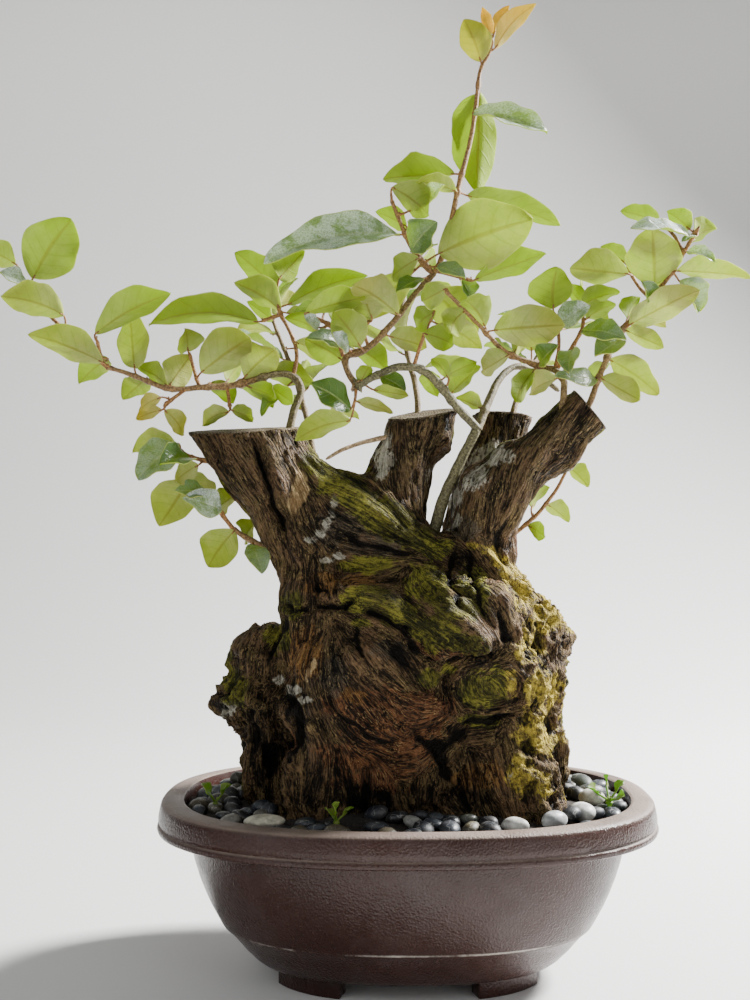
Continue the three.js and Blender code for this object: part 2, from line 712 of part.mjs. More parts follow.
// Branches
// Each branch stands in a plain hole in the stump and carries its leaves. A route is a list of
// points [x, y, z]; its girth is the radius at its start and at its end.
const holeDepth = 9;
const leafyBranches = {
  fork_branch: {
    routes: [
      { girth: [4.4, 3.2], points: [[19, 4, 300], [25, 3, 322], [32, 1, 338], [41, 0, 356], [49, 0, 372]] },
      { girth: [3.2, 2.4], points: [[49, 0, 370], [32, -6, 388], [21, -12, 403], [8, -18, 413],
        [-8, -22, 413], [-19, -22, 408], [-36, -20, 399]] },
      { girth: [3, 2], points: [[49, 0, 370], [57, 10, 391], [63, 18, 404], [73, 26, 414],
        [84, 31, 412], [96, 34, 404], [105, 36, 396]] },
      { girth: [2.4, 1.9], points: [[-34, -20, 400], [-41, -16, 408], [-44, -12, 421], [-28, -12, 424],
        [-17, -12, 435], [-6, -12, 448], [6, -12, 464], [20, -12, 479]] },
      { girth: [1.6, 1.1], points: [[-44, -12, 420], [-48, -14, 438], [-60, -14, 446], [-70, -15, 449]] },
      { girth: [1.4, 1.1], points: [[-26, -12, 426], [-31, -15, 438], [-25, -18, 446]] },
      { girth: [1.9, 1.3], points: [[18, -12, 477], [3, -13, 495], [-2, -14, 506], [-11, -14, 529]] },
      { girth: [2, 1.1], points: [[18, -12, 477], [25, -11, 488], [36, -9, 539], [41, -6, 557],
        [45.5, -3, 577], [49, 0, 603], [50, 1, 618], [57, 1, 629], [59, 0, 642]] },
      { girth: [1.4, 1.1], points: [[20, -11, 479], [33, -8, 476], [46, -8, 472]] },
      { girth: [1.4, 1.1], points: [[5, -18, 414], [12, -22, 436], [19, -24, 452]] },
    ],
    leaves: [
      [57, 0, 641, 52, -6, 661, 9, -55],
      [60, 0, 642, 70, 5, 662, 9, -60],
      [61, 1, 633, 88, -6, 664, 15, -55],
      [51, 0, 624, 40, -8, 653, 23, -60],
      [50, 2, 603, 48, 10, 533, 32, -80],
      [48, 3, 601, 37, 16, 562, 19, -70],
      [46, -5, 588, 97, -14, 575, 26, 48],
      [33, -10, 546, -17, -22, 544, 25, -42],
      [34, -12, 534, 7, -24, 542, 15, -40],
      [-5, -16, 504, -99, -30, 489, 34, 52],
      [3, -16, 493, 20, -28, 513, 26, 60],
      [-10, -16, 537, 15, -30, 518, 24, -52],
      [9, -14, 524, 26, -30, 538, 16, 60],
      [8, -18, 488, -12, -34, 475, 19, -55],
      [11, -20, 474, -7, -36, 464, 14, 50],
      [21, -16, 482, 40, -30, 475, 16, 50],
      [37, -4, 473, 44, 4, 458, 14, 60],
      [17, -4, 466, 48, 12, 436, 33, -70],
      [22, -18, 491, 87, -34, 515, 47, -78],
      [42, -4, 531, 106, 10, 511, 22, -45],
      [47, -6, 473, 96, -4, 491, 23, -45],
      [-24, -22, 446, -31, -30, 473, 26, -72],
      [-6, -20, 449, -38, -48, 471, 24, -60],
      [-70, -18, 450, -28, -34, 461, 19, -50],
      [-32, -24, 427, -50, -38, 451, 25, -68],
      [-61, -18, 440, -71, -28, 448, 11, 55],
      [-62, -8, 438, -84, -2, 447, 13, -55],
      [-46, -16, 428, -68, -34, 434, 16, 48],
      [-40, -18, 425, -51, -36, 436, 14, 55],
      [-45, -8, 418, -70, -2, 432, 25, -62],
      [-39, -18, 376, -77, -30, 362, 21, -52],
      [-17, -24, 406, -1, -36, 397, 14, 58],
      [28, -12, 407, 48, -20, 417, 14, -55],
      [19, -24, 451, 6, -40, 440, 18, -58],
      [12, -24, 436, 32, -38, 428, 18, -60],
      [-39, -24, 383, -67, -36, 401, 23, 58],
      [2, -8, 476, -30, 6, 445, 26, -62],
      [-12, -14, 434, 14, -16, 427, 19, -58],
      [22, -22, 442, 51, -8, 427, 20, -60],
      [30, 2, 394, 50, -2, 414, 17, -52],
      [52, 6, 384, 34, 8, 392, 15, -40],
      [-33, -12, 424, -14, 8, 411, 19, -56],
      [-50, -14, 440, -34, 8, 462, 20, -60],
      [0, -14, 510, -22, 4, 520, 16, -50],
      [-58, -2, 455, -79, 2, 450, 10, 55],
      [-36, -3, 425, -53, 10, 438, 14, 38],
      [-32, -22, 402, -26, -30, 414, 12, -60],
      [-23, -17, 397, 1, -25, 393, 12, -56],
      [-35, -24, 389, -9, -32, 382, 10, -50],
      [12, -12, 409, 21, 2, 393, 15, -64],
      [29, -14, 405, 17, -24, 419, 11, -58],
    ],
  },
  left_branch: {
    routes: [
      { girth: [2.9, 2.3], points: [[-84, 6, 352], [-79, 8, 381], [-75, 10, 390], [-72, 12, 398],
        [-79, 12, 408], [-94, 8, 408], [-106, 4, 403]] },
      { girth: [2.3, 1.5], points: [[-104, 4, 404], [-124, 0, 399], [-143, -4, 399], [-155, -6, 397],
        [-168, -8, 398], [-188, -6, 407], [-208, -4, 413]] },
      { girth: [1.6, 1.1], points: [[-206, -4, 412], [-225, 0, 428], [-241, 5, 443], [-255, 8, 456],
        [-262, 9, 470], [-270, 10, 482]] },
      { girth: [1.7, 1.1], points: [[-78, 12, 408], [-75, 14, 423], [-81, 16, 438], [-88, 15, 450],
        [-90, 14, 464]] },
      { girth: [1.4, 1.1], points: [[-143, -4, 399], [-147, 2, 411], [-150, 5, 423]] },
      { girth: [1.3, 1.1], points: [[-210, -4, 415], [-214, -10, 432]] },
      { girth: [1.3, 1.1], points: [[-153, -6, 397], [-168, -14, 386]] },
      { girth: [1.3, 1.1], points: [[-124, 0, 399], [-122, -6, 384]] },
      { girth: [1.3, 1.1], points: [[-87, 15, 449], [-101, 16, 444]] },
    ],
    leaves: [
      [-258, 8, 474, -231, -2, 515, 40, -76],
      [-270, 10, 484, -293, 6, 494, 21, -55],
      [-262, 6, 470, -281, -6, 478, 14, 50],
      [-237, -6, 449, -280, -26, 461, 27, -58],
      [-210, -8, 416, -261, -18, 436, 26, -58],
      [-215, -10, 436, -163, -20, 463, 25, -52],
      [-188, -4, 412, -191, 8, 453, 26, -68],
      [-165, -8, 400, -187, 6, 413, 16, -50],
      [-164, -6, 400, -149, 8, 421, 23, -60],
      [-151, 6, 424, -153, 14, 439, 22, -68],
      [-142, -6, 409, -108, -20, 434, 32, -64],
      [-112, 2, 406, -91, -12, 425, 27, -66],
      [-103, 14, 444, -178, 2, 446, 28, -42],
      [-93, 20, 446, -110, 36, 458, 13, -58],
      [-90, 16, 466, -118, 22, 492, 23, -58],
      [-88, 13, 474, -72, 22, 493, 21, -58],
      [-87, 15, 452, -119, 4, 471, 23, -50],
      [-82, 15, 456, -28, 24, 477, 22, -46],
      [-170, -15, 392, -184, -26, 384, 12, -60],
      [-169, -14, 383, -187, -22, 377, 12, -55],
      [-167, -16, 383, -154, -26, 366, 15, -66],
      [-123, -8, 382, -142, -20, 373, 14, -50],
      [-121, -8, 383, -106, -24, 378, 14, -50],
      [-124, 4, 403, -112, 22, 417, 16, -55],
      [-206, 0, 418, -226, 16, 402, 20, -50],
      [-180, -4, 405, -196, 14, 392, 19, -48],
      [-98, 12, 410, -64, 28, 402, 21, -50],
      [-114, 6, 404, -92, 24, 386, 19, -54],
      [-135, 2, 402, -120, 22, 388, 18, -52],
      [-77, 12, 430, -52, 26, 416, 19, -56],
      [-83, 12, 450, -69, 4, 447, 10, -48],
      [-94, 2, 399, -79, -8, 388, 14, -58],
      [-109, 0, 399, -90, -14, 392, 13, -60],
      [-84, 14, 398, -101, 8, 380, 13, 52],
    ],
  },
  left_twig: {
    routes: [
      { girth: [1.7, 1.1], points: [[-126, -6, 345], [-143, -8, 349], [-150, -10, 351],
        [-158, -10, 356]] },
      { girth: [1.3, 1.1], points: [[-149, -10, 351], [-152, -8, 336]] },
    ],
    leaves: [
      [-158, -10, 360, -186, -22, 336, 30, 58],
      [-151, -8, 335, -171, -2, 303, 31, -66],
      [-144, -14, 345, -160, -28, 334, 17, -55],
      [-160, -8, 359, -189, 6, 354, 24, -50],
      [-152, -6, 338, -136, 12, 316, 22, -60],
      [-150, -18, 350, -170, -50, 346, 20, 55],
    ],
  },
  left_low_shoot: {
    routes: [
      { girth: [2.3, 1.6], points: [[-74, -8, 281], [-99, -12, 289], [-110, -10, 294],
        [-121, -10, 302]] },
      { girth: [1.6, 1.1], points: [[-120, -10, 301], [-130, -10, 314], [-137, -9, 326]] },
    ],
    leaves: [
      [-128, -12, 314, -154, -24, 323, 22, 58],
      [-119, -12, 300, -137, -20, 275, 27, -76],
      [-138, -10, 326, -160, -22, 327, 15, 50],
      [-130, -6, 316, -116, 16, 326, 19, -55],
      [-106, -15, 290, -100, -40, 270, 17, 62],
      [-112, -8, 295, -104, 14, 306, 18, -50],
    ],
  },
  right_shoot: {
    routes: [
      { girth: [2.4, 1.8], points: [[120, -6, 378], [127, -5, 389], [133, -3, 407], [142, -1, 428],
        [151, 0, 442]] },
      { girth: [1.8, 1.1], points: [[150, 0, 440], [169, -2, 461], [183, -5, 477], [193, -8, 495],
        [202, -10, 510]] },
      { girth: [1.3, 1.1], points: [[168, -2, 460], [158, 2, 470], [152, 5, 483]] },
      { girth: [1.3, 1.1], points: [[191, -8, 492], [184, -2, 505], [176, 2, 511]] },
    ],
    leaves: [
      [171, -6, 469, 169, -22, 509, 38, -80],
      [195, -12, 503, 155, -26, 510, 18, 38],
      [175, 2, 512, 148, 10, 521, 15, -45],
      [195, -6, 508, 180, 4, 520, 18, -55],
      [200, -12, 503, 190, -20, 500, 7, 30],
      [193, -12, 492, 213, -22, 487, 13, 50],
      [186, -8, 479, 237, -18, 476, 20, -36],
      [153, 0, 477, 112, -10, 482, 27, -55],
      [150, 6, 485, 134, 16, 496, 15, -55],
      [167, -8, 459, 162, -20, 472, 15, 62],
      [154, -4, 442, 201, -18, 468, 28, -52],
      [188, -4, 472, 202, 10, 451, 25, 60],
      [152, 4, 446, 161, 16, 461, 16, -58],
      [151, -2, 438, 178, -12, 427, 16, -50],
      [147, -4, 432, 130, -20, 420, 19, 58],
      [140, -2, 418, 174, -14, 394, 23, -55],
      [134, -6, 405, 161, -22, 390, 19, -50],
      [138, 2, 416, 128, 22, 404, 16, -50],
      [160, 10, 452, 178, 34, 442, 21, -48],
      [176, 2, 468, 166, 24, 480, 20, -50],
      [197, -6, 500, 214, 10, 508, 19, -45],
      [131, -6, 404, 102, -26, 407, 16, 55],
    ],
  },
  inner_branch: {
    routes: [
      { girth: [2.6, 2.1], points: [[106, -12, 370], [109, -12, 399], [108, -9, 405], [102, -7, 412],
        [92, -6, 412]] },
      { girth: [2.1, 1.3], points: [[94, -6, 412], [79, -8, 418], [67, -10, 423], [57, -13, 434],
        [38, -20, 454], [26, -26, 466]] },
      { girth: [1.5, 1.1], points: [[102, -7, 411], [106, -9, 430], [102, -11, 448]] },
      { girth: [1.6, 1.1], points: [[103, -7, 411], [114, -4, 426], [122, -2, 440], [121, 0, 452]] },
    ],
    leaves: [
      [101, -12, 453, 103, -20, 482, 32, -78],
      [60, -16, 438, 109, -30, 442, 30, -72],
      [54, -16, 441, 40, -34, 460, 23, -64],
      [120, -2, 455, 147, -10, 464, 16, -52],
      [120, 2, 457, 111, 10, 470, 13, -50],
      [106, -12, 442, 125, -26, 456, 20, 62],
      [124, -4, 446, 144, -16, 457, 16, -52],
      [92, -10, 416, 103, -26, 428, 16, 58],
      [27, -26, 467, 10, -42, 458, 19, -60],
      [70, -12, 421, 52, -28, 410, 19, -55],
      [104, -12, 405, 84, -28, 396, 18, -52],
      [40, -20, 452, 30, -40, 436, 20, -62],
      [115, -8, 425, 112, -28, 408, 16, 55],
      [86, -2, 424, 84, -4, 447, 19, -66],
      [74, -4, 423, 86, 16, 440, 18, -56],
      [121, -6, 437, 150, -34, 434, 19, 58],
      [123, -2, 453, 139, 8, 446, 14, -52],
      [88, -8, 411, 74, -28, 388, 17, -60],
    ],
  },
  dead_twig: {
    routes: [
      { girth: [1.9, 1.1], points: [[-10, 8, 365], [-22, 2, 363], [-36, -3, 359], [-46, -6, 355],
        [-56, -9, 349]] },
    ],
    leaves: [],
  },
  right_low_twig: {
    routes: [
      { girth: [1.8, 1.1], points: [[64, 22, 290], [80, 34, 302], [93, 38, 314], [106, 40, 332],
        [112, 38, 346]] },
    ],
    leaves: [
      [111, 36, 344, 125, 30, 330, 15, -50],
      [86, 38, 316, 98, 52, 330, 16, -50],
      [84, 34, 303, 96, 22, 296, 14, -55],
      [97, 38, 318, 112, 46, 306, 16, -50],
    ],
  },
};

// The shoots at the back, which the front hides: a route, and leaves set along it by turns
const backShoots = {
  back_left_shoot: {
    seed: 11,
    leafCount: 9,
    points: [[-62, 16, 320], [-66, 42, 354], [-74, 62, 390], [-86, 84, 424], [-98, 104, 452], [-106, 118, 474]],
  },
  back_middle_shoot: {
    seed: 23,
    leafCount: 9,
    points: [[8, 26, 366], [9, 34, 394], [3, 58, 424], [-4, 78, 452], [2, 98, 484], [10, 108, 506]],
  },
  back_right_shoot: {
    seed: 37,
    leafCount: 9,
    points: [[76, 52, 366], [78, 54, 386], [92, 76, 416], [108, 96, 440], [126, 114, 458], [140, 126, 480]],
  },
};
const backShootGirth = [2.6, 1.1];

function curveRadii(girth, count) {
  return [...Array(count).keys()].map((i) => THREE.MathUtils.lerp(...girth, i / (count - 1)));
}

// The point inside a twig that a leaf's stalk grows from: the nearest to just behind its base,
// kept clear of the twig's ends
function rootFor(routes, base, tip) {
  const behind = base.clone().addScaledVector(tip.clone().sub(base).normalize(), -5);
  const margin = 1.6;
  let best = null;
  routes.forEach(({ points }) => {
    for (let index = 0; index < points.length - 1; index += 1) {
      const run = points[index + 1].clone().sub(points[index]);
      const length = run.length();
      const along = behind.clone().sub(points[index]).dot(run) / length;
      const kept = THREE.MathUtils.clamp(along, margin, length - margin);
      const place = points[index].clone().addScaledVector(run, kept / length);
      const distance = place.distanceTo(behind);
      if (!best || distance < best.distance) best = { place, distance };
    }
  });
  return best.place;
}

function stemSides(radius) {
  return radius > 2.5 ? 6 : 4;
}

function makeBranch(routes, leaves) {
  let branch = null;
  routes.forEach(({ points, girth }) => {
    const tube = tubeAlong(points, curveRadii(girth, points.length), stemSides(girth[0]));
    branch = branch ? branch.add(solidFrom(tube)) : solidFrom(tube);
  });
  leaves.forEach(({ base, tip, width, turn }, index) => {
    const root = rootFor(routes, base, tip);
    branch = branch.add(solidFrom(makeLeaf(root, base, tip, width, turn, index * 2.1)));
  });
  return largestPiece(branch.simplify(sliver));
}

function seenBranch({ routes, leaves }) {
  return {
    routes: routes.map(({ girth, points }) => ({ girth, points: points.map((place) => seen(...place)) })),
    leaves: leaves.map(([baseX, baseY, baseZ, tipX, tipY, tipZ, width, turn]) => ({
      base: seen(baseX, baseY, baseZ), tip: seen(tipX, tipY, tipZ), width, turn,
    })),
  };
}

// Leaves by turns along a shoot: each a golden angle further round, drooping and facing up
function backBranch({ seed, leafCount, points }) {
  const random = randomFrom(seed);
  const route = points.map((place) => new THREE.Vector3(...place));
  const curve = new THREE.CatmullRomCurve3(route);
  const goldenAngle = 2.4;
  const firstShare = 0.34;
  const leaves = [];
  for (let index = 0; index < leafCount; index += 1) {
    const share = firstShare + ((0.98 - firstShare) * index) / (leafCount - 1);
    const from = curve.getPointAt(share);
    const angle = index * goldenAngle + random();
    const spread = new THREE.Vector3(Math.cos(angle), 0.35 + Math.sin(angle), 0.1 + 0.5 * random());
    spread.normalize();
    const length = 34 + 16 * random();
    const base = from.clone().addScaledVector(spread, 7);
    const tip = base.clone().addScaledVector(spread, length);
    tip.z -= 5 * random();
    leaves.push({ base, tip, width: length * (0.46 + 0.08 * random()), turn: -20 + 40 * random() });
  }
  return { routes: [{ girth: backShootGirth, points: route }], leaves };
}

// The straight foot of a branch's first route, grown by a gap: the hole that it stands in
function holeFor({ points, girth }) {
  const [foot, next] = points;
  const down = foot.clone().sub(next).normalize();
  const start = foot.clone().addScaledVector(down, clearance);
  const radius = girth[0] + clearance * 1.6;
  return tubeAlong([start, next.clone()], [radius, radius], 10);
}

// Weeds and seedlings between the pebbles: round leaflets on stalks from one short stem
const weeds = {
  right_weed: { at: [134, -34], seed: 5, leafCount: 4, size: 9, height: 15 },
  left_weed: { at: [-128, -36], seed: 9, leafCount: 3, size: 9, height: 13 },
  front_seedling: { at: [-46, -92], seed: 13, leafCount: 3, size: 8, height: 12 },
};
const weedStemRadius = 1.5;

function makeWeed({ at: [x, y], seed, leafCount, size, height }) {
  const random = randomFrom(seed);
  const foot = soilTop + clearance;
  const crownZ = moundHeight(x, y) + height * 0.6;
  const route = [new THREE.Vector3(x, y, foot), new THREE.Vector3(x, y, crownZ)];
  const leaves = [];
  for (let index = 0; index < leafCount; index += 1) {
    const angle = (2 * Math.PI * index) / leafCount + 0.6 * random();
    const out = new THREE.Vector3(Math.cos(angle), Math.sin(angle), 0.35 + 0.9 * random()).normalize();
    const base = new THREE.Vector3(x, y, crownZ - 1).addScaledVector(out, height * (0.4 + 0.5 * random()));
    const tip = base.clone().addScaledVector(out, size);
    leaves.push({ base, tip, width: size * 0.95, turn: 20 * random() });
  }
  const routes = [{ girth: [weedStemRadius, weedStemRadius], points: route }];
  return { branch: makeBranch(routes, leaves), routes };
}

function weedHole({ at: [x, y] }) {
  const radius = weedStemRadius + clearance * 1.6;
  return tubeAlong(
    [new THREE.Vector3(x, y, soilTop - 1), new THREE.Vector3(x, y, potHeight + 20)],
    [radius, radius],
    8,
  );
}

// Materials
function material(colour, roughness) {
  return new THREE.MeshStandardMaterial({ color: colour, roughness, metalness: 0 });
}
const potPlastic = material(0x3a2626, 0.42);
const soilMaterial = material(0x2a211b, 1);
const gravelStone = material(0x3c4044, 0.6);
const bark = material(0x4a3f2c, 0.95);
const leafGreen = material(0x9db04e, 0.55);
const weedGreen = material(0x5f9b2a, 0.6);

const tree = new THREE.Group();
tree.name = 'silverberry_bonsai';

function place(name, geometry, look) {
  const mesh = new THREE.Mesh(geometry, look);
  mesh.name = name;
  tree.add(mesh);
}

// The whole tree
const net = makeWoodNet();
const stumpPlace = makeStump(net, clearance * 1.4);
let stump = makeStump(net, 0);

const branches = {};
Object.entries(leafyBranches).forEach(([name, branch]) => {
  branches[name] = seenBranch(branch);
});
Object.entries(backShoots).forEach(([name, shoot]) => {
  branches[name] = backBranch(shoot);
});
Object.values(branches).forEach(({ routes }) => {
  stump = stump.subtract(solidFrom(holeFor(routes[0])));
});

place('pot', makePot(), potPlastic);
place('soil', geometryOf(makeSoil(stumpPlace)), soilMaterial);
place('gravel', geometryOf(makeGravel(Object.values(weeds).map(weedHole))), gravelStone);
lightStones.forEach(({ at, size, turn, colour }, index) => {
  place(`light_pebble_${index + 1}`, stone(at, size, turn), material(colour, 0.5));
});
place('trunk', geometryOf(largestPiece(stump.simplify(sliver))), bark);
Object.entries(branches).forEach(([name, { routes, leaves }]) => {
  place(name, geometryOf(makeBranch(routes, leaves)), leaves.length > 0 ? leafGreen : bark);
});
Object.entries(weeds).forEach(([name, weed]) => {
  place(name, geometryOf(makeWeed(weed).branch), weedGreen);
});

const bounds = new THREE.Box3().setFromObject(tree);
const middle = bounds.getCenter(new THREE.Vector3());
tree.position.set(-middle.x, -middle.y, -bounds.min.z);

export default tree;
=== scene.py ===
"""A potted silverberry bonsai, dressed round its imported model.

The sizes and places below are millimetres about the middle of the pot, on the surface that its
feet stand on. A finished piece is moved into the model's own frame, in metres.
"""
import itertools
import math
import random

import bpy
import numpy as np
from bpy.props import FloatProperty, FloatVectorProperty, IntProperty, PointerProperty
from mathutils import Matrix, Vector


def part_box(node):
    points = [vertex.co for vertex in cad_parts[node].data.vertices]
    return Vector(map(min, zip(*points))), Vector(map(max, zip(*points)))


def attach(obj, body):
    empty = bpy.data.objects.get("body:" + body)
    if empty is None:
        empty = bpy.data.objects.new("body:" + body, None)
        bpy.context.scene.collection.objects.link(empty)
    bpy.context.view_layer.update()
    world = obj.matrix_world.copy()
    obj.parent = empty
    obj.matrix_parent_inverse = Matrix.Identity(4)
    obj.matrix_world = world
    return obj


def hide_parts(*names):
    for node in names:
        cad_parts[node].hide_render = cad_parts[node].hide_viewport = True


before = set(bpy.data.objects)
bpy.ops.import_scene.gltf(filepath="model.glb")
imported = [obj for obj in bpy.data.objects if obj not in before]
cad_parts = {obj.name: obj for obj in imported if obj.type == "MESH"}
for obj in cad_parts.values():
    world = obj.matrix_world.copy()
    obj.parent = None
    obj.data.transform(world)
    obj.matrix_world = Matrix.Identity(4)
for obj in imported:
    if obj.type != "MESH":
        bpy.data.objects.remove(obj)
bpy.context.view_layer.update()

bl_info = {
    "name": "Silverberry bonsai",
    "version": (1, 0, 0),
    "blender": (4, 5, 0),
    "location": "3D View > Sidebar > Bonsai",
    "description": "Dresses the packed model of a potted silverberry bonsai",
    "category": "Object",
}

MM = 0.001
POT_LOW, POT_HIGH = (np.array(corner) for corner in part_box("pot"))
MIDDLE = np.array([*(POT_LOW + POT_HIGH)[:2] / 2, POT_LOW[2]])

# The eye that the tree was seen with. Places written as seen lie on the plane y = 0, and their y
# then slides them along the line of sight.
EYE = np.array([-22.0, -958.0, 321.0])
LENS_MM = 49.97

# The pot: half-length and height of each ring up the outside and down the inside
POT_DEPTH_SHARE = 0.765
POT_SQUARENESS = 2.4
POT_SIDES = 144
POT_BASE = 96
POT_OUTSIDE = [
    (96, 11), (103, 13.2), (107, 16.2), (109, 18.4), (113, 22.4), (117.5, 28), (123, 34.2),
    (126.2, 36.6), (127.4, 38.4), (130.4, 44), (134.4, 51.5), (138.6, 61), (142.3, 71), (145, 80),
    (147.2, 90), (148.2, 97.6), (150.5, 99), (167.3, 99), (169.4, 100), (170, 101.8), (169.3, 103.6),
    (168.1, 104.3), (168.1, 105.1), (169.1, 106.2), (169, 109), (168, 114.5), (167.1, 117.4),
    (165.6, 118.8), (163, 119.3),
]
POT_INSIDE = [
    (153.6, 120), (152, 119.4), (151, 117), (150, 112), (147.5, 104), (144, 97), (138.5, 74),
    (132, 53), (126, 41), (118, 30), (108, 21), (94, 15),
]
FOOT_FROM, FOOT_TO, FOOT_DEPTH, FOOT_INSET, FOOT_SLANT = 45, 86, 14, 2, 4
FOOT_HEIGHT = 11
DRAIN_RADIUS, DRAIN_SPACING = 11, 90
# Heights of the crease low on the pot's side and of the edge under its rim
POT_CREASE, POT_RIM = 37.8, 100
SOIL_TOP, SOIL_REACH = 110, 148
SOIL_SIDES = 96
CLEARANCE = 0.4

# How high the pebbles' bed lies at each half-length of the oval
MOUND = [(150, 111.5), (132, 114), (100, 118), (60, 120), (20, 120.5)]
# How pebbles are spread: where they start and end on the oval, the rounds of pushing, the share of
# each push, and how near they come. Then the least and most of a pebble's length, width and height.
START_REACH, PEBBLE_REACH, SPREAD_ROUNDS, SPREAD_PUSH, NEARNESS = 146, 148.5, 90, 0.3, 0.94
PEBBLE_FORM = ((1.0, 1.25), (0.8, 0.98), (0.5, 0.75))
# How high the lower and the upper pebbles lie over the bed
LOWER_LIFT, UPPER_LIFT = 1.5, 6.5
# Where the lower layer is thin: its middle and half-width in x, its edge in y, and the share gone
THIN_MIDDLE, THIN_HALF, THIN_EDGE, THIN_SHARE = 8, 62, -66, 0.42
# Where the upper layer lies: past this x or this y, within this reach, and the share that stays
BANK_SIDE, BANK_BACK, BANK_REACH, BANK_SHARE = 74, 30, 134, 0.62
# The palest pebbles: middle, half-sizes, turn and tint
LIGHT_PEBBLES = [
    ((-92, -80, 118), (13, 9, 4), 0.2, 0.1), ((92, -78, 118), (9, 7, 6), 0.6, 0.75),
    ((112, -58, 119), (8, 11, 6), 0.3, 0.95), ((66, -88, 117), (9, 6, 5), -0.4, 0.5),
    ((124, -20, 120), (8, 9, 6), 1.1, 0.35),
]

# The stump: burls are ellipsoids (x, y, z, half-width, half-depth, half-height)
BURLS = [
    (-8, 0, 150, 100, 64, 66), (4, 4, 214, 84, 60, 72), (70, 4, 212, 42, 46, 52),
    (74, -8, 150, 36, 44, 56), (-101, 6, 184, 31, 34, 24), (-92, 8, 212, 30, 32, 20),
    (-93, -4, 138, 20, 28, 44), (-56, -42, 128, 26, 26, 46), (58, -44, 126, 38, 24, 34),
    (-30, -38, 186, 50, 42, 60), (57, -46, 191, 30, 20, 22), (-20, 40, 170, 60, 36, 56),
    (40, 44, 140, 46, 30, 50),
]
# Limbs and rolls of wood: from, to, and the radius at each end
LIMBS = [
    ((-64, -26, 238), (-64, -12, 296), (22, 21)), ((-64, -6, 284), (-142, -2, 398), (21, 27)),
    ((-58, 4, 284), (-104, 8, 400), (20, 15)), ((-84, 6, 350), (-38, -4, 302), (13, 29)),
    ((-38, -4, 302), (24, -10, 262), (29, 30)), ((-15, 16, 296), (22, 18, 408), (24, 21)),
    ((50, 38, 280), (76, 50, 410), (26, 18)), ((46, -2, 262), (57, -2, 320), (28, 21)),
    ((56, -2, 322), (140, -8, 395), (21, 17)), ((-36, -36, 250), (42, -46, 238), (20, 27)),
    ((42, -46, 238), (68, -44, 200), (27, 22)), ((-84, -30, 176), (-60, -52, 120), (14, 20)),
    ((66, -40, 168), (84, -52, 118), (16, 20)),
]
HOLLOWS = [
    (30, -74, 146, 13, 20, 32), (-88, -40, 152, 13, 18, 34), (-30, -54, 304, 34, 16, 13),
    (57, -71, 191, 23, 6, 14), (-12, 78, 236, 22, 18, 34), (24, 4, 334, 9, 30, 26),
]
# Sawn ends: a point on the cut, the way it faces, and how far round it the saw reaches
SAW_CUTS = [
    ((-118, -2, 369), (-0.04, -0.1, 1), 62), ((14, 17, 382), (-0.12, -0.16, 1), 32),
    ((72, 48, 382), (0.05, 0.1, 1), 24), ((125, -7, 384), (0.77, -0.1, 0.64), 34),
]
WOOD_BLEND, HOLLOW_BLEND = 15, 9
GNARL_DEPTH, GNARL_SIZE = 2.8, 21
TRUNK_FOOT = 106
# The bark's fibres, from coarse to fine: their width and how far they are drawn out
CORD_GRAIN, STRAND_GRAIN, THREAD_GRAIN = (9, 26), (4.6, 15), (2.6, 9)
# The stump's first mesh, and the most triangles that the carved stump keeps
BLANK_VOXEL, STUMP_TRIANGLES = 4, 192000

# Creases and strands in the bark, as seen: a path of (x, z), its depth or height, and its width
CREASES = [
    (((-106, 370), (-102, 355), (-98, 335), (-88, 310), (-83, 291)), 6.5, 2.6),
    (((-66, 247), (-45, 248), (-33, 252)), 5, 2.8),
    (((-35, 246), (-12, 240), (3, 225), (10, 213)), 5.5, 3),
    (((10, 213), (30, 210), (50, 213), (69, 215)), 5.5, 3),
    (((-84, 244), (-86, 231), (-95, 215), (-99, 200)), 5, 3),
    (((-86, 194), (-74, 169), (-80, 142)), 5, 3.4),
    (((5, 161), (21, 150), (30, 128)), 5.5, 4),
    (((64, 248), (67, 231), (71, 219)), 3.5, 2.2),
    (((-84, 252), (-78, 244), (-66, 247)), 4, 2.4),
    (((-48, 300), (-30, 292), (-8, 284), (10, 286)), 2.4, 3),
    (((-34, 236), (-37, 224), (-28, 210)), 2.5, 2),
    (((-60, 190), (-46, 172), (-30, 158), (-8, 150)), 2.4, 2.2),
    (((-64, 262), (-56, 256), (-50, 250)), 2.4, 1.6),
    (((34, 290), (30, 270), (38, 244)), 2.6, 2.2),
    (((44, 288), (46, 264), (56, 236)), 2.6, 2.2),
    (((40, 168), (56, 166), (74, 172)), 3, 2.4),
]
STRANDS = [
    (((-95, 368), (-88, 339), (-78, 301), (-74, 285)), 3.2, 6),
    (((9, 283), (21, 260), (38, 235), (56, 219)), 3, 6),
    (((46, 291), (65, 272), (81, 260)), 4.5, 5),
    (((-35, 254), (-6, 248), (17, 234), (26, 220)), 5, 7.5),
    (((12, 220), (32, 217), (52, 220)), 3.4, 6),
    (((-74, 240), (-80, 214), (-62, 196), (-50, 176)), 3, 6),
    (((-28, 216), (-12, 200), (4, 176)), 2.6, 7),
    (((-66, 150), (-60, 132), (-62, 118)), 3, 6),
    (((60, 150), (58, 130), (64, 118)), 3, 6),
    (((-122, 352), (-108, 326), (-92, 300)), 2, 6),
]
SCAR = (57, 191, 23, 15.5)
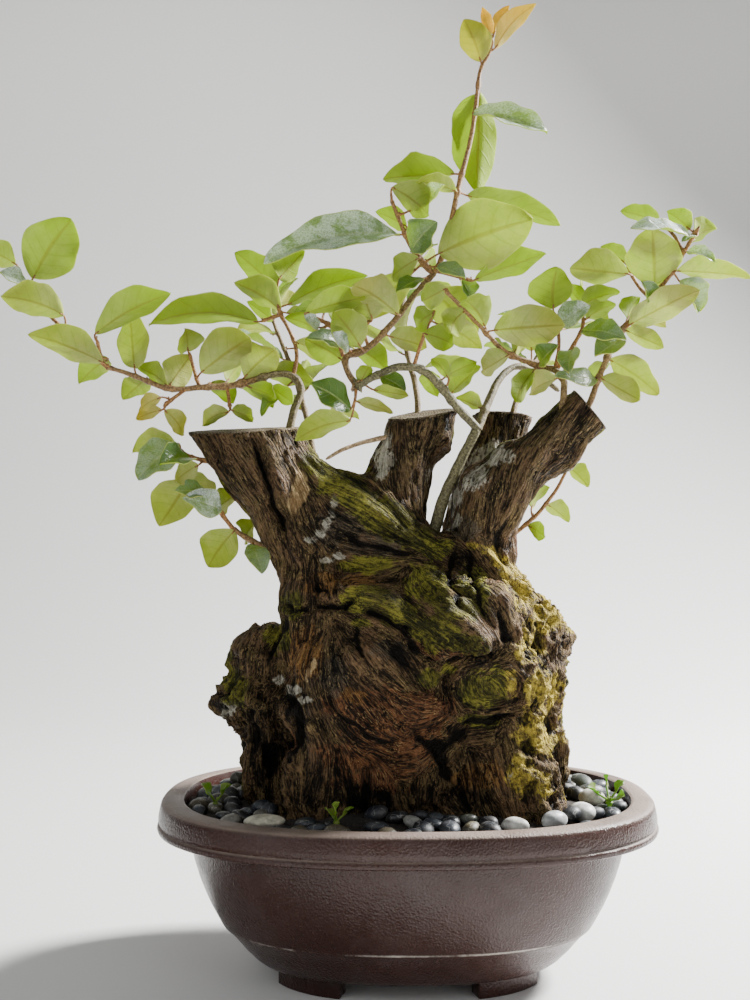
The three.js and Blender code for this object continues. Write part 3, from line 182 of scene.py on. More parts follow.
# The way the fibres flow over the front, as seen: paths of (x, z)
FLOWS = [
    ((-124, 372), (-112, 348), (-99, 334), (-81, 296), (-76, 270), (-79, 242), (-85, 219), (-88, 196)),
    ((-70, 334), (-64, 311), (-58, 294)), ((-58, 327), (-22, 304), (9, 290), (30, 284)),
    ((-62, 299), (-34, 290), (0, 284)), ((-64, 268), (-62, 253)), ((-48, 268), (-47, 251)),
    ((-39, 264), (-13, 262), (0, 273)), ((-36, 248), (-13, 242), (6, 228), (20, 224)),
    ((0, 273), (9, 250), (30, 236), (53, 224)), ((30, 281), (39, 265), (55, 247), (63, 227)),
    ((53, 288), (69, 265), (81, 248)), ((-42, 236), (-22, 227), (-4, 213), (6, 199)),
    ((-42, 227), (-34, 207), (-16, 188), (9, 179)),
    ((-64, 239), (-64, 211), (-56, 187), (-44, 168), (-22, 150), (0, 140), (23, 150), (39, 162)),
    ((-22, 177), (-10, 157), (9, 154), (30, 167)),
    ((-77, 196), (-68, 180), (-56, 162), (-51, 143), (-44, 119)), ((-54, 142), (-62, 119)),
    ((-22, 134), (-19, 111)), ((15, 142), (13, 111)), ((27, 168), (46, 160), (61, 167), (73, 174)),
    ((73, 165), (76, 142), (81, 122)), ((38, 150), (46, 127)), ((-14, 400), (-6, 340), (0, 304)),
    ((66, 400), (58, 340), (50, 300)), ((120, 392), (92, 350), (70, 300)),
]
FLOW_REACH = 22

# Patches on the bark: what covers it, painted shade and painted sunlight, each (x, z, half-width,
# half-height) as seen
MOSS = [
    (-58, 348, 16, 16), (-46, 334, 18, 14), (-34, 324, 19, 13), (-22, 314, 19, 12), (-8, 304, 19, 12),
    (6, 295, 18, 11), (20, 288, 16, 9), (-24, 249, 20, 8), (-6, 243, 20, 9), (10, 234, 18, 10),
    (28, 227, 18, 8), (44, 222, 14, 7), (56, 191, 23, 15.5), (16, 262, 18, 16), (46, 262, 12, 18),
    (34, 246, 22, 12), (-118, 190, 12, 14), (-88, 226, 10, 12), (16, 199, 8, 7), (30, 205, 6, 4),
    (-30, 276, 26, 7), (-78, 250, 8, 12), (-30, 236, 8, 4), (50, 168, 16, 6),
]
# Yellow lichen, and painted sunlight: the patch at the scar's right side stands for the sun falling there
LICHEN_AND_SUNLIGHT = [
    (56, 285, 9, 5), (64, 276, 8, 9), (73, 193, 6, 12), (72, 266, 10, 12), (82, 252, 12, 10),
    (47, 288, 8, 3), (95, 240, 14, 14), (84, 220, 12, 12), (92, 190, 14, 16), (90, 160, 16, 18),
    (78, 135, 12, 14), (88, 125, 12, 12),
]
BARE = [(-73, 332, 6, 12), (-78, 318, 5, 9), (-64, 208, 2, 4), (-67, 202, 2.4, 4), (-69, 197, 2, 3)]
# Pale wood, and painted sunlight: the patches on the left faces of the middle and right stubs stand for
# where the sun falls
PALE = [
    (-50, 347, 4, 5), (-44, 339, 3, 3), (-50, 319, 2.8, 6), (-52, 311, 2.8, 6), (-55, 304, 3.2, 5),
    (-60, 298, 4.5, 3.4), (-66, 293, 5, 2.6), (-54, 279, 5.5, 2.2), (-46, 282, 6, 2.4),
    (28, 308, 12, 7), (34, 322, 7, 8), (47, 338, 12, 14), (60, 352, 12, 10), (-16, 352, 7, 20),
    (-88, 197, 6, 4), (-80, 190, 7, 4), (-71, 183, 7, 3), (-124, 176, 6, 6),
]
RED = [
    (-28, 178, 30, 18), (-4, 166, 34, 20), (-20, 146, 42, 20), (14, 178, 22, 12), (20, 221, 16, 6),
    (40, 219, 16, 5), (-22, 128, 30, 12),
]
# Grey bark, and painted shade: the first two patches are the shade under the shoulder
GREY = [
    (-46, 302, 24, 14), (-20, 290, 26, 10), (-14, 218, 16, 8), (-50, 200, 12, 14), (40, 300, 12, 12),
    (-58, 340, 4, 14),
]
ORANGE = [(-60, 262, 16, 9), (-32, 262, 16, 7), (-70, 214, 12, 20), (-34, 186, 10, 8), (52, 130, 20, 10)]
# Painted shade: near-black patches where the recesses lie in shadow
DARK = [
    (-92, 158, 22, 34), (20, 136, 12, 24), (28, 158, 10, 10), (-8, 252, 18, 4), (-2, 214, 12, 8),
    (40, 284, 10, 12), (-64, 128, 10, 18), (14, 118, 60, 10), (-40, 114, 50, 8),
]
BARK_PATCHES = {
    "moss": MOSS, "lichen_and_sunlight": LICHEN_AND_SUNLIGHT, "bare": BARE, "pale": PALE, "red": RED, "grey": GREY,
    "orange": ORANGE, "dark": DARK,
}

# Branches as seen. A route is ((radius at its start, at its end), points); a leaf is (base x, y, z,
# tip x, y, z, width, turn), where the turn is the way its upper face looks: 0 up, 90 to the front.
BRANCHES = {
    "fork_branch": {
        "routes": [
            ((4.4, 3.2), ((19, 4, 300), (25, 3, 322), (32, 1, 338), (41, 0, 356), (49, 0, 372))),
            ((3.2, 2.4), ((49, 0, 370), (32, -6, 388), (21, -12, 403), (8, -18, 413), (-8, -22, 413),
                (-19, -22, 408), (-36, -20, 399))),
            ((3, 2), ((49, 0, 370), (57, 10, 391), (63, 18, 404), (73, 26, 414), (84, 31, 412),
                (96, 34, 404), (105, 36, 396))),
            ((2.4, 1.9), ((-34, -20, 400), (-41, -16, 408), (-44, -12, 421), (-28, -12, 424),
                (-17, -12, 435), (-6, -12, 448), (6, -12, 464), (20, -12, 479))),
            ((1.6, 1.1), ((-44, -12, 420), (-48, -14, 438), (-60, -14, 446), (-70, -15, 449))),
            ((1.4, 1.1), ((-26, -12, 426), (-31, -15, 438), (-25, -18, 446))),
            ((1.9, 1.3), ((18, -12, 477), (3, -13, 495), (-2, -14, 506), (-11, -14, 529))),
            ((2, 1.1), ((18, -12, 477), (25, -11, 488), (36, -9, 539), (41, -6, 557), (45.5, -3, 577),
                (49, 0, 603), (50, 1, 618), (57, 1, 629), (59, 0, 642))),
            ((1.4, 1.1), ((20, -11, 479), (33, -8, 476), (46, -8, 472))),
            ((1.4, 1.1), ((5, -18, 414), (12, -22, 436), (19, -24, 452))),
        ],
        "leaves": [
            (57, 0, 641, 52, -6, 661, 9, -55), (60, 0, 642, 70, 5, 662, 9, -60),
            (61, 1, 633, 88, -6, 664, 15, -55), (51, 0, 624, 40, -8, 653, 23, -60),
            (50, 2, 603, 48, 10, 533, 32, -80), (48, 3, 601, 37, 16, 562, 19, -70),
            (46, -5, 588, 97, -14, 575, 26, 48), (33, -10, 546, -17, -22, 544, 25, -42),
            (34, -12, 534, 7, -24, 542, 15, -40), (-5, -16, 504, -99, -30, 489, 34, 52),
            (3, -16, 493, 20, -28, 513, 26, 60), (-10, -16, 537, 15, -30, 518, 24, -52),
            (9, -14, 524, 26, -30, 538, 16, 60), (8, -18, 488, -12, -34, 475, 19, -55),
            (11, -20, 474, -7, -36, 464, 14, 50), (21, -16, 482, 40, -30, 475, 16, 50),
            (37, -4, 473, 44, 4, 458, 14, 60), (17, -4, 466, 48, 12, 436, 33, -70),
            (22, -18, 491, 87, -34, 515, 47, -78), (42, -4, 531, 106, 10, 511, 22, -45),
            (47, -6, 473, 96, -4, 491, 23, -45), (-24, -22, 446, -31, -30, 473, 26, -72),
            (-6, -20, 449, -38, -48, 471, 24, -60), (-70, -18, 450, -28, -34, 461, 19, -50),
            (-32, -24, 427, -50, -38, 451, 25, -68), (-61, -18, 440, -71, -28, 448, 11, 55),
            (-62, -8, 438, -84, -2, 447, 13, -55), (-46, -16, 428, -68, -34, 434, 16, 48),
            (-40, -18, 425, -51, -36, 436, 14, 55), (-45, -8, 418, -70, -2, 432, 25, -62),
            (-39, -18, 376, -77, -30, 362, 21, -52), (-17, -24, 406, -1, -36, 397, 14, 58),
            (28, -12, 407, 48, -20, 417, 14, -55), (19, -24, 451, 6, -40, 440, 18, -58),
            (12, -24, 436, 32, -38, 428, 18, -60), (-39, -24, 383, -67, -36, 401, 23, 58),
            (2, -8, 476, -30, 6, 445, 26, -62), (-12, -14, 434, 14, -16, 427, 19, -58),
            (22, -22, 442, 51, -8, 427, 20, -60), (30, 2, 394, 50, -2, 414, 17, -52),
            (52, 6, 384, 34, 8, 392, 15, -40), (-33, -12, 424, -14, 8, 411, 19, -56),
            (-50, -14, 440, -34, 8, 462, 20, -60), (0, -14, 510, -22, 4, 520, 16, -50),
            (-58, -2, 455, -79, 2, 450, 10, 55), (-36, -3, 425, -53, 10, 438, 14, 38),
            (-32, -22, 402, -26, -30, 414, 12, -60), (-23, -17, 397, 1, -25, 393, 12, -56),
            (-35, -24, 389, -9, -32, 382, 10, -50), (12, -12, 409, 21, 2, 393, 15, -64),
            (29, -14, 405, 17, -24, 419, 11, -58),
        ],
    },
    "left_branch": {
        "routes": [
            ((2.9, 2.3), ((-84, 6, 352), (-79, 8, 381), (-75, 10, 390), (-72, 12, 398), (-79, 12, 408),
                (-94, 8, 408), (-106, 4, 403))),
            ((2.3, 1.5), ((-104, 4, 404), (-124, 0, 399), (-143, -4, 399), (-155, -6, 397), (-168, -8, 398),
                (-188, -6, 407), (-208, -4, 413))),
            ((1.6, 1.1), ((-206, -4, 412), (-225, 0, 428), (-241, 5, 443), (-255, 8, 456), (-262, 9, 470),
                (-270, 10, 482))),
            ((1.7, 1.1), ((-78, 12, 408), (-75, 14, 423), (-81, 16, 438), (-88, 15, 450), (-90, 14, 464))),
            ((1.4, 1.1), ((-143, -4, 399), (-147, 2, 411), (-150, 5, 423))),
            ((1.3, 1.1), ((-210, -4, 415), (-214, -10, 432))),
            ((1.3, 1.1), ((-153, -6, 397), (-168, -14, 386))),
            ((1.3, 1.1), ((-124, 0, 399), (-122, -6, 384))),
            ((1.3, 1.1), ((-87, 15, 449), (-101, 16, 444))),
        ],
        "leaves": [
            (-258, 8, 474, -231, -2, 515, 40, -76), (-270, 10, 484, -293, 6, 494, 21, -55),
            (-262, 6, 470, -281, -6, 478, 14, 50), (-237, -6, 449, -280, -26, 461, 27, -58),
            (-210, -8, 416, -261, -18, 436, 26, -58), (-215, -10, 436, -163, -20, 463, 25, -52),
            (-188, -4, 412, -191, 8, 453, 26, -68), (-165, -8, 400, -187, 6, 413, 16, -50),
            (-164, -6, 400, -149, 8, 421, 23, -60), (-151, 6, 424, -153, 14, 439, 22, -68),
            (-142, -6, 409, -108, -20, 434, 32, -64), (-112, 2, 406, -91, -12, 425, 27, -66),
            (-103, 14, 444, -178, 2, 446, 28, -42), (-93, 20, 446, -110, 36, 458, 13, -58),
            (-90, 16, 466, -118, 22, 492, 23, -58), (-88, 13, 474, -72, 22, 493, 21, -58),
            (-87, 15, 452, -119, 4, 471, 23, -50), (-82, 15, 456, -28, 24, 477, 22, -46),
            (-170, -15, 392, -184, -26, 384, 12, -60), (-169, -14, 383, -187, -22, 377, 12, -55),
            (-167, -16, 383, -154, -26, 366, 15, -66), (-123, -8, 382, -142, -20, 373, 14, -50),
            (-121, -8, 383, -106, -24, 378, 14, -50), (-124, 4, 403, -112, 22, 417, 16, -55),
            (-206, 0, 418, -226, 16, 402, 20, -50), (-180, -4, 405, -196, 14, 392, 19, -48),
            (-98, 12, 410, -64, 28, 402, 21, -50), (-114, 6, 404, -92, 24, 386, 19, -54),
            (-135, 2, 402, -120, 22, 388, 18, -52), (-77, 12, 430, -52, 26, 416, 19, -56),
            (-83, 12, 450, -69, 4, 447, 10, -48), (-94, 2, 399, -79, -8, 388, 14, -58),
            (-109, 0, 399, -90, -14, 392, 13, -60), (-84, 14, 398, -101, 8, 380, 13, 52),
        ],
    },
    "left_twig": {
        "routes": [
            ((1.7, 1.1), ((-126, -6, 345), (-143, -8, 349), (-150, -10, 351), (-158, -10, 356))),
            ((1.3, 1.1), ((-149, -10, 351), (-152, -8, 336))),
        ],
        "leaves": [
            (-158, -10, 360, -186, -22, 336, 30, 58), (-151, -8, 335, -171, -2, 303, 31, -66),
            (-144, -14, 345, -160, -28, 334, 17, -55), (-160, -8, 359, -189, 6, 354, 24, -50),
            (-152, -6, 338, -136, 12, 316, 22, -60), (-150, -18, 350, -170, -50, 346, 20, 55),
        ],
    },
    "left_low_shoot": {
        "routes": [
            ((2.3, 1.6), ((-74, -8, 281), (-99, -12, 289), (-110, -10, 294), (-121, -10, 302))),
            ((1.6, 1.1), ((-120, -10, 301), (-130, -10, 314), (-137, -9, 326))),
        ],
        "leaves": [
            (-128, -12, 314, -154, -24, 323, 22, 58), (-119, -12, 300, -137, -20, 275, 27, -76),
            (-138, -10, 326, -160, -22, 327, 15, 50), (-130, -6, 316, -116, 16, 326, 19, -55),
            (-106, -15, 290, -100, -40, 270, 17, 62), (-112, -8, 295, -104, 14, 306, 18, -50),
        ],
    },
    "right_shoot": {
        "routes": [
            ((2.4, 1.8), ((120, -6, 378), (127, -5, 389), (133, -3, 407), (142, -1, 428), (151, 0, 442))),
            ((1.8, 1.1), ((150, 0, 440), (169, -2, 461), (183, -5, 477), (193, -8, 495), (202, -10, 510))),
            ((1.3, 1.1), ((168, -2, 460), (158, 2, 470), (152, 5, 483))),
            ((1.3, 1.1), ((191, -8, 492), (184, -2, 505), (176, 2, 511))),
        ],
        "leaves": [
            (171, -6, 469, 169, -22, 509, 38, -80), (195, -12, 503, 155, -26, 510, 18, 38),
            (175, 2, 512, 148, 10, 521, 15, -45), (195, -6, 508, 180, 4, 520, 18, -55),
            (200, -12, 503, 190, -20, 500, 7, 30), (193, -12, 492, 213, -22, 487, 13, 50),
            (186, -8, 479, 237, -18, 476, 20, -36), (153, 0, 477, 112, -10, 482, 27, -55),
            (150, 6, 485, 134, 16, 496, 15, -55), (167, -8, 459, 162, -20, 472, 15, 62),
            (154, -4, 442, 201, -18, 468, 28, -52), (188, -4, 472, 202, 10, 451, 25, 60),
            (152, 4, 446, 161, 16, 461, 16, -58), (151, -2, 438, 178, -12, 427, 16, -50),
            (147, -4, 432, 130, -20, 420, 19, 58), (140, -2, 418, 174, -14, 394, 23, -55),
            (134, -6, 405, 161, -22, 390, 19, -50), (138, 2, 416, 128, 22, 404, 16, -50),
            (160, 10, 452, 178, 34, 442, 21, -48), (176, 2, 468, 166, 24, 480, 20, -50),
            (197, -6, 500, 214, 10, 508, 19, -45), (131, -6, 404, 102, -26, 407, 16, 55),
        ],
    },
    "inner_branch": {
        "routes": [
            ((2.6, 2.1), ((106, -12, 370), (109, -12, 399), (108, -9, 405), (102, -7, 412), (92, -6, 412))),
            ((2.1, 1.3), ((94, -6, 412), (79, -8, 418), (67, -10, 423), (57, -13, 434), (38, -20, 454),
                (26, -26, 466))),
            ((1.5, 1.1), ((102, -7, 411), (106, -9, 430), (102, -11, 448))),
            ((1.6, 1.1), ((103, -7, 411), (114, -4, 426), (122, -2, 440), (121, 0, 452))),
        ],
        "leaves": [
            (101, -12, 453, 103, -20, 482, 32, -78), (60, -16, 438, 109, -30, 442, 30, -72),
            (54, -16, 441, 40, -34, 460, 23, -64), (120, -2, 455, 147, -10, 464, 16, -52),
            (120, 2, 457, 111, 10, 470, 13, -50), (106, -12, 442, 125, -26, 456, 20, 62),
            (124, -4, 446, 144, -16, 457, 16, -52), (92, -10, 416, 103, -26, 428, 16, 58),
            (27, -26, 467, 10, -42, 458, 19, -60), (70, -12, 421, 52, -28, 410, 19, -55),
            (104, -12, 405, 84, -28, 396, 18, -52), (40, -20, 452, 30, -40, 436, 20, -62),
            (115, -8, 425, 112, -28, 408, 16, 55), (86, -2, 424, 84, -4, 447, 19, -66),
            (74, -4, 423, 86, 16, 440, 18, -56), (121, -6, 437, 150, -34, 434, 19, 58),
            (123, -2, 453, 139, 8, 446, 14, -52), (88, -8, 411, 74, -28, 388, 17, -60),
        ],
    },
    "dead_twig": {
        "routes": [
            ((1.9, 1.1), ((-10, 8, 365), (-22, 2, 363), (-36, -3, 359), (-46, -6, 355), (-56, -9, 349))),
        ],
        "leaves": [],
    },
    "right_low_twig": {
        "routes": [
            ((1.8, 1.1), ((64, 22, 290), (80, 34, 302), (93, 38, 314), (106, 40, 332), (112, 38, 346))),
        ],
        "leaves": [
            (111, 36, 344, 125, 30, 330, 15, -50), (86, 38, 316, 98, 52, 330, 16, -50),
            (84, 34, 303, 96, 22, 296, 14, -55), (97, 38, 318, 112, 46, 306, 16, -50),
        ],
    },
}

# Shoots at the back: a seed, the number of leaves, and the route
BACK_SHOOTS = {
    "back_left_shoot": (11, 9, [(-62, 16, 320), (-66, 42, 354), (-74, 62, 390), (-86, 84, 424),
                                (-98, 104, 452), (-106, 118, 474)]),
    "back_middle_shoot": (23, 9, [(8, 26, 366), (9, 34, 394), (3, 58, 424), (-4, 78, 452),
                                  (2, 98, 484), (10, 108, 506)]),
    "back_right_shoot": (37, 9, [(76, 52, 366), (78, 54, 386), (92, 76, 416), (108, 96, 440),
                                 (126, 114, 458), (140, 126, 480)]),
}
BACK_SHOOT_GIRTH = (2.6, 1.1)
GOLDEN_ANGLE = 2.4
FIRST_SHARE, LAST_SHARE = 0.34, 0.98

# Weeds: place (x, y), seed, number of leaves, length of a leaf, height
WEEDS = {
    "right_weed": ((134, -34), 5, 4, 9, 15),
    "left_weed": ((-128, -36), 9, 3, 9, 13),
    "front_seedling": ((-46, -92), 13, 3, 8, 12),
}
WEED_STEM = 1.5

LEAF_THICKNESS = 0.6
LEAF_ARCH, LEAF_FOLD, LEAF_WAVE = 0.07, 0.16, 0.06

# Fibres in the bark's material: how many steps are averaged, and their length by the grain's scale
FIBRE_TAPS, FIBRE_STEP = 11, 0.8

# The stage, in metres: the floor with its upturned back, and what the lights face
FLOOR_SIZE, FLOOR_BACK, FLOOR_BEND, FLOOR_SHIFT = 14, 5, 1.4, 4.6
LIGHTS_AIM = Vector((0, 0, 0.3))


# Handling pieces
def deselect():
    if bpy.context.object and bpy.context.object.mode != "OBJECT":
        bpy.ops.object.mode_set(mode="OBJECT")
    bpy.ops.object.select_all(action="DESELECT")


def activate(piece):
    deselect()
    piece.select_set(True)
    bpy.context.view_layer.objects.active = piece


def named(name):
    """The piece that an operator has just made, under its own name."""
    piece = bpy.context.object
    piece.name = name
    piece.data.name = name
    return piece


def points_of(piece):
    points = np.empty(len(piece.data.vertices) * 3)
    piece.data.vertices.foreach_get("co", points)
    return points.reshape(-1, 3)


def normals_of(piece):
    normals = np.empty(len(piece.data.vertices) * 3)
    piece.data.vertex_normals.foreach_get("vector", normals)
    return normals.reshape(-1, 3)


def move_points(piece, points):
    piece.data.vertices.foreach_set("co", np.asarray(points, float).ravel())
    piece.data.update()


def set_values(piece, name, values):
    """One number for each point, kept as an attribute that the materials read."""
    attribute = piece.data.attributes.get(name)
    if attribute is None:
        attribute = piece.data.attributes.new(name, "FLOAT", "POINT")
    count = len(piece.data.vertices)
    attribute.data.foreach_set("value", np.broadcast_to(np.asarray(values, float), count))


def with_modifier(piece, kind, **settings):
    activate(piece)
    modifier = piece.modifiers.new(kind.title(), kind)
    for name, value in settings.items():
        setattr(modifier, name, value)
    bpy.ops.object.modifier_apply(modifier=modifier.name)


def joined(pieces, name):
    activate(pieces[0])
    for piece in pieces:
        piece.select_set(True)
    bpy.ops.object.join()
    return named(name)


def with_places_applied(pieces):
    deselect()
    for piece in pieces:
        piece.select_set(True)
    bpy.context.view_layer.objects.active = pieces[0]
    bpy.ops.object.transform_apply(location=True, rotation=True, scale=True)
    return pieces


def copied(master):
    copy = master.copy()
    copy.data = master.data.copy()
    bpy.context.scene.collection.objects.link(copy)
    return copy


def discard(piece):
    mesh = piece.data
    bpy.data.objects.remove(piece)
    bpy.data.meshes.remove(mesh)


def smooth(piece, degrees=180):
    activate(piece)
    bpy.ops.object.shade_smooth_by_angle(angle=math.radians(degrees))


def settled(piece, slot, nodes, *materials):
    """Moves a finished piece into the model's frame, hangs it under the root body and hides the parts that
    it stands for.
    """
    move_points(piece, points_of(piece) * MM + MIDDLE)
    if materials:
        piece.data.materials.clear()
    for material in materials:
        piece.data.materials.append(material)
    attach(piece, "root")
    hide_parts(*nodes)
    return piece


# Numbers that change over space
def unit(vector):
    return np.array(vector) / np.linalg.norm(vector)


def smoothstep(low, high, values):
    share = np.clip((np.asarray(values, float) - low) / (high - low), 0, 1)
    return share * share * (3 - 2 * share)


def hashed(cells, seed):
    """A repeatable number from -1 to 1 for each cell of a grid."""
    x, y, z = (cells[:, axis].astype(np.int64) for axis in range(3))
    bits = (x * 374761393 + y * 668265263 + z * 1103515245 + seed * 12820163) & 0xFFFFFFFF
    bits = ((bits ^ (bits >> 13)) * 1274126177) & 0xFFFFFFFF
    bits = ((bits ^ (bits >> 15)) * 461845907) & 0xFFFFFFFF
    return (bits ^ (bits >> 16)) / 0x7FFFFFFF - 1


def lumps(points, size, seed=0):
    """Smooth noise from about -1 to 1, with lumps of about that size."""
    scaled = points / size + 500
    low = np.floor(scaled)
    share = smoothstep(0, 1, scaled - low)
    total = np.zeros(len(points))
    for corner in itertools.product((0, 1), repeat=3):
        weight = np.prod(np.where(corner, share, 1 - share), axis=1)
        total += weight * hashed(low + corner, seed)
    return total


def ridges(points, size, seed=0):
    return 1 - 2.5 * np.abs(lumps(points, size, seed))


def streaks(points, along, size, reach, seed=0, taps=9):
    """Noise drawn out along a direction, as fibres are."""
    steps = np.linspace(-reach, reach, taps)
    return sum(lumps(points + step * along, size, seed) for step in steps) / math.sqrt(taps)


def oval_reach(x, y):
    """The half-length of the pot's oval that a point lies on."""
    return (np.abs(x) ** POT_SQUARENESS + np.abs(y / POT_DEPTH_SHARE) ** POT_SQUARENESS) \
        ** (1 / POT_SQUARENESS)


def mound_height(x, y):
    halves, heights = zip(*reversed(MOUND))
    return np.interp(oval_reach(x, y), halves, heights)


def seen(x, y, z):
    farther = (y - EYE[1]) / -EYE[1]
    return EYE + (np.array([x, 0, z]) - EYE) * farther


def as_seen(points):
    """Where points show on the plane y = 0."""
    shrunk = -EYE[1] / (points[:, 1] - EYE[1])
    shown = EYE + (points - EYE) * shrunk[:, None]
    return shown[:, 0], shown[:, 2]


# The shape of the wood, as a distance that is negative inside
def ellipsoid_distance(points, ellipsoid):
    middle, half = np.array(ellipsoid[:3]), np.array(ellipsoid[3:])
    scaled = (points - middle) / half
    reach = np.linalg.norm(scaled, axis=1)
    steep = np.linalg.norm(scaled / half, axis=1)
    return reach * (reach - 1) / np.maximum(steep, 1e-6)


def limb_distance(points, limb):
    start, end, girth = limb
    start, run = np.array(start), np.subtract(end, start)
    local = points - start
    share = np.clip(local @ run / (run @ run), 0, 1)
    away = np.linalg.norm(local - share[:, None] * run, axis=1)
    return away - (girth[0] + (girth[1] - girth[0]) * share)


def blended(near, far, width):
    overlap = np.maximum(width - np.abs(near - far), 0) / width
    return np.minimum(near, far) - overlap * overlap * width / 4


def gnarl(points):
    x, y, z = points.T
    swirl = 1.3 * np.sin(z / GNARL_SIZE + x / (2 * GNARL_SIZE))
    crests = np.sin(x / (GNARL_SIZE * 0.55) + swirl) * np.cos(y / GNARL_SIZE - swirl)
    swells = np.sin(z / (GNARL_SIZE * 0.7) + 2 * swirl + y / GNARL_SIZE)
    return GNARL_DEPTH * (0.6 * crests + 0.5 * swells)


def cut_height(points, cut):
    return (points - cut[0]) @ unit(cut[1])


def cut_distance(points, cut):
    """Positive in the space that a saw has cleared."""
    height = cut_height(points, cut)
    sideways = np.linalg.norm(points - cut[0] - height[:, None] * unit(cut[1]), axis=1)
    return np.minimum(height, cut[2] - sideways)


def wood_distance(points):
    distance = ellipsoid_distance(points, BURLS[0])
    for burl in BURLS[1:]:
        distance = blended(distance, ellipsoid_distance(points, burl), WOOD_BLEND)
    for limb in LIMBS:
        distance = blended(distance, limb_distance(points, limb), WOOD_BLEND)
    for hollow in HOLLOWS:
        distance = -blended(-distance, ellipsoid_distance(points, hollow), HOLLOW_BLEND)
    distance += gnarl(points)
    for cut in SAW_CUTS:
        distance = np.maximum(distance, cut_distance(points, cut))
    return np.maximum(distance, TRUNK_FOOT - points[:, 2])


def slope_of(distance, points, step=0.4):
    slope = np.empty_like(points)
    for axis in range(3):
        ahead, behind = points.copy(), points.copy()
        ahead[:, axis] += step
        behind[:, axis] -= step
        slope[:, axis] = (distance(ahead) - distance(behind)) / (2 * step)
    return slope


def drawn_to_wood(points, rounds, furthest):
    for _ in range(rounds):
        slope = slope_of(wood_distance, points)
        steepness = np.maximum((slope * slope).sum(axis=1), 0.3)
        move = -slope * (wood_distance(points) / steepness)[:, None]
        length = np.linalg.norm(move, axis=1, keepdims=True)
        points = points + move * np.minimum(1, furthest / np.maximum(length, 1e-9))
    return points


# Shader nodes
def coloured(value):
    return value if isinstance(value, bpy.types.NodeSocket) else (*value, 1)


def scaled_colour(colour, *factors):
    return tuple(value * factor for value, factor in zip(colour, factors))


class Nodes:
    """The nodes of one shader tree. Their inputs are numbers, colours or other nodes' sockets."""

    def __init__(self, tree, place=None):
        self.tree = tree
        self.place = place or self.add("TexCoord").outputs["Object"]

    def feed(self, node, inputs):
        for name, value in inputs.items():
            if isinstance(value, bpy.types.NodeSocket):
                self.tree.links.new(value, node.inputs[name])
            else:
                node.inputs[name].default_value = value

    def add(self, kind, inputs=None, **settings):
        node = self.tree.nodes.new("ShaderNode" + kind)
        for name, value in settings.items():
            setattr(node, name, value)
        self.feed(node, inputs or {})
        return node

    def maths(self, operation, *values, use_clamp=False):
        node = self.add("Math", dict(enumerate(values)), operation=operation, use_clamp=use_clamp)
        return node.outputs[0]

    def times(self, *values):
        return self.maths("MULTIPLY", *values)

    def times_plus(self, value, factor, more, **settings):
        return self.maths("MULTIPLY_ADD", value, factor, more, **settings)

    def weighted(self, *terms):
        """The sum of (value, weight) terms."""
        total = 0.0
        for value, weight in terms:
            total = self.times_plus(value, weight, total)
        return total

    def off(self, value, middle):
        """How far a value is from the middle, on either side."""
        return self.maths("ABSOLUTE", self.maths("SUBTRACT", value, middle))

    def eased(self, value, low, high, to_low=0.0, to_high=1.0):
        """A value between low and high, eased into another range."""
        ends = {"Value": value, "From Min": low, "From Max": high, "To Min": to_low, "To Max": to_high}
        return self.add("MapRange", ends, interpolation_type="SMOOTHSTEP").outputs["Result"]

    def mix(self, share, first, second, blend_type="MIX"):
        inputs = {0: share, 6: coloured(first), 7: coloured(second)}
        return self.add("Mix", inputs, data_type="RGBA", blend_type=blend_type).outputs[2]

    def laid(self, under, mask, share, over):
        """A colour under a share of another, where the mask says."""
        return self.mix(self.times(mask, share), under, over)

    def steps(self, value, steps):
        """Colours at places along a value from 0 to 1."""
        node = self.add("ValToRGB", {"Fac": value})
        elements = node.color_ramp.elements
        while len(elements) < len(steps):
            elements.new(0.5)
        for element, (position, colour) in zip(elements, steps):
            element.position = position
            element.color = coloured(colour)
        return node.outputs["Color"]

    def noise(self, scale, detail=3.0, roughness=0.55, place=None):
        inputs = {"Vector": place or self.place, "Scale": scale, "Detail": detail, "Roughness": roughness}
        return self.add("TexNoise", inputs).outputs["Fac"]

    def cells(self, scale, feature="F1"):
        inputs = {"Vector": self.place, "Scale": scale}
        return self.add("TexVoronoi", inputs, feature=feature).outputs["Distance"]

    def waves(self, scale, distortion, detail_scale, **settings):
        inputs = {"Vector": self.place, "Scale": scale, "Distortion": distortion, "Detail": 3.0,
                  "Detail Scale": detail_scale}
        return self.add("TexWave", inputs, **settings).outputs["Fac"]

    def attribute(self, name, output="Fac"):
        return self.add("Attribute", attribute_name=name).outputs[output]

    def parts(self, vector):
        return self.add("SeparateXYZ", {"Vector": vector}).outputs

    def bumped(self, height, strength, distance):
        inputs = {"Height": height, "Strength": strength, "Distance": distance}
        return self.add("Bump", inputs).outputs["Normal"]

    def patchy(self, scale, amount, edge=0.08):
        group = shader_group("Patchy", {"Scale": 30.0, "Amount": 0.5, "Edge": 0.1}, (), patchy_mask)
        inputs = {"Place": self.place, "Scale": scale, "Amount": amount, "Edge": edge}
        return self.add("Group", inputs, node_tree=group).outputs["Mask"]

    def fibres(self, grain, scale):
        group = shader_group("Fibres", {"Scale": 600.0}, ("Grain",), fibre_mask)
        inputs = {"Place": self.place, "Grain": grain, "Scale": scale}
        return self.add("Group", inputs, node_tree=group).outputs["Mask"]


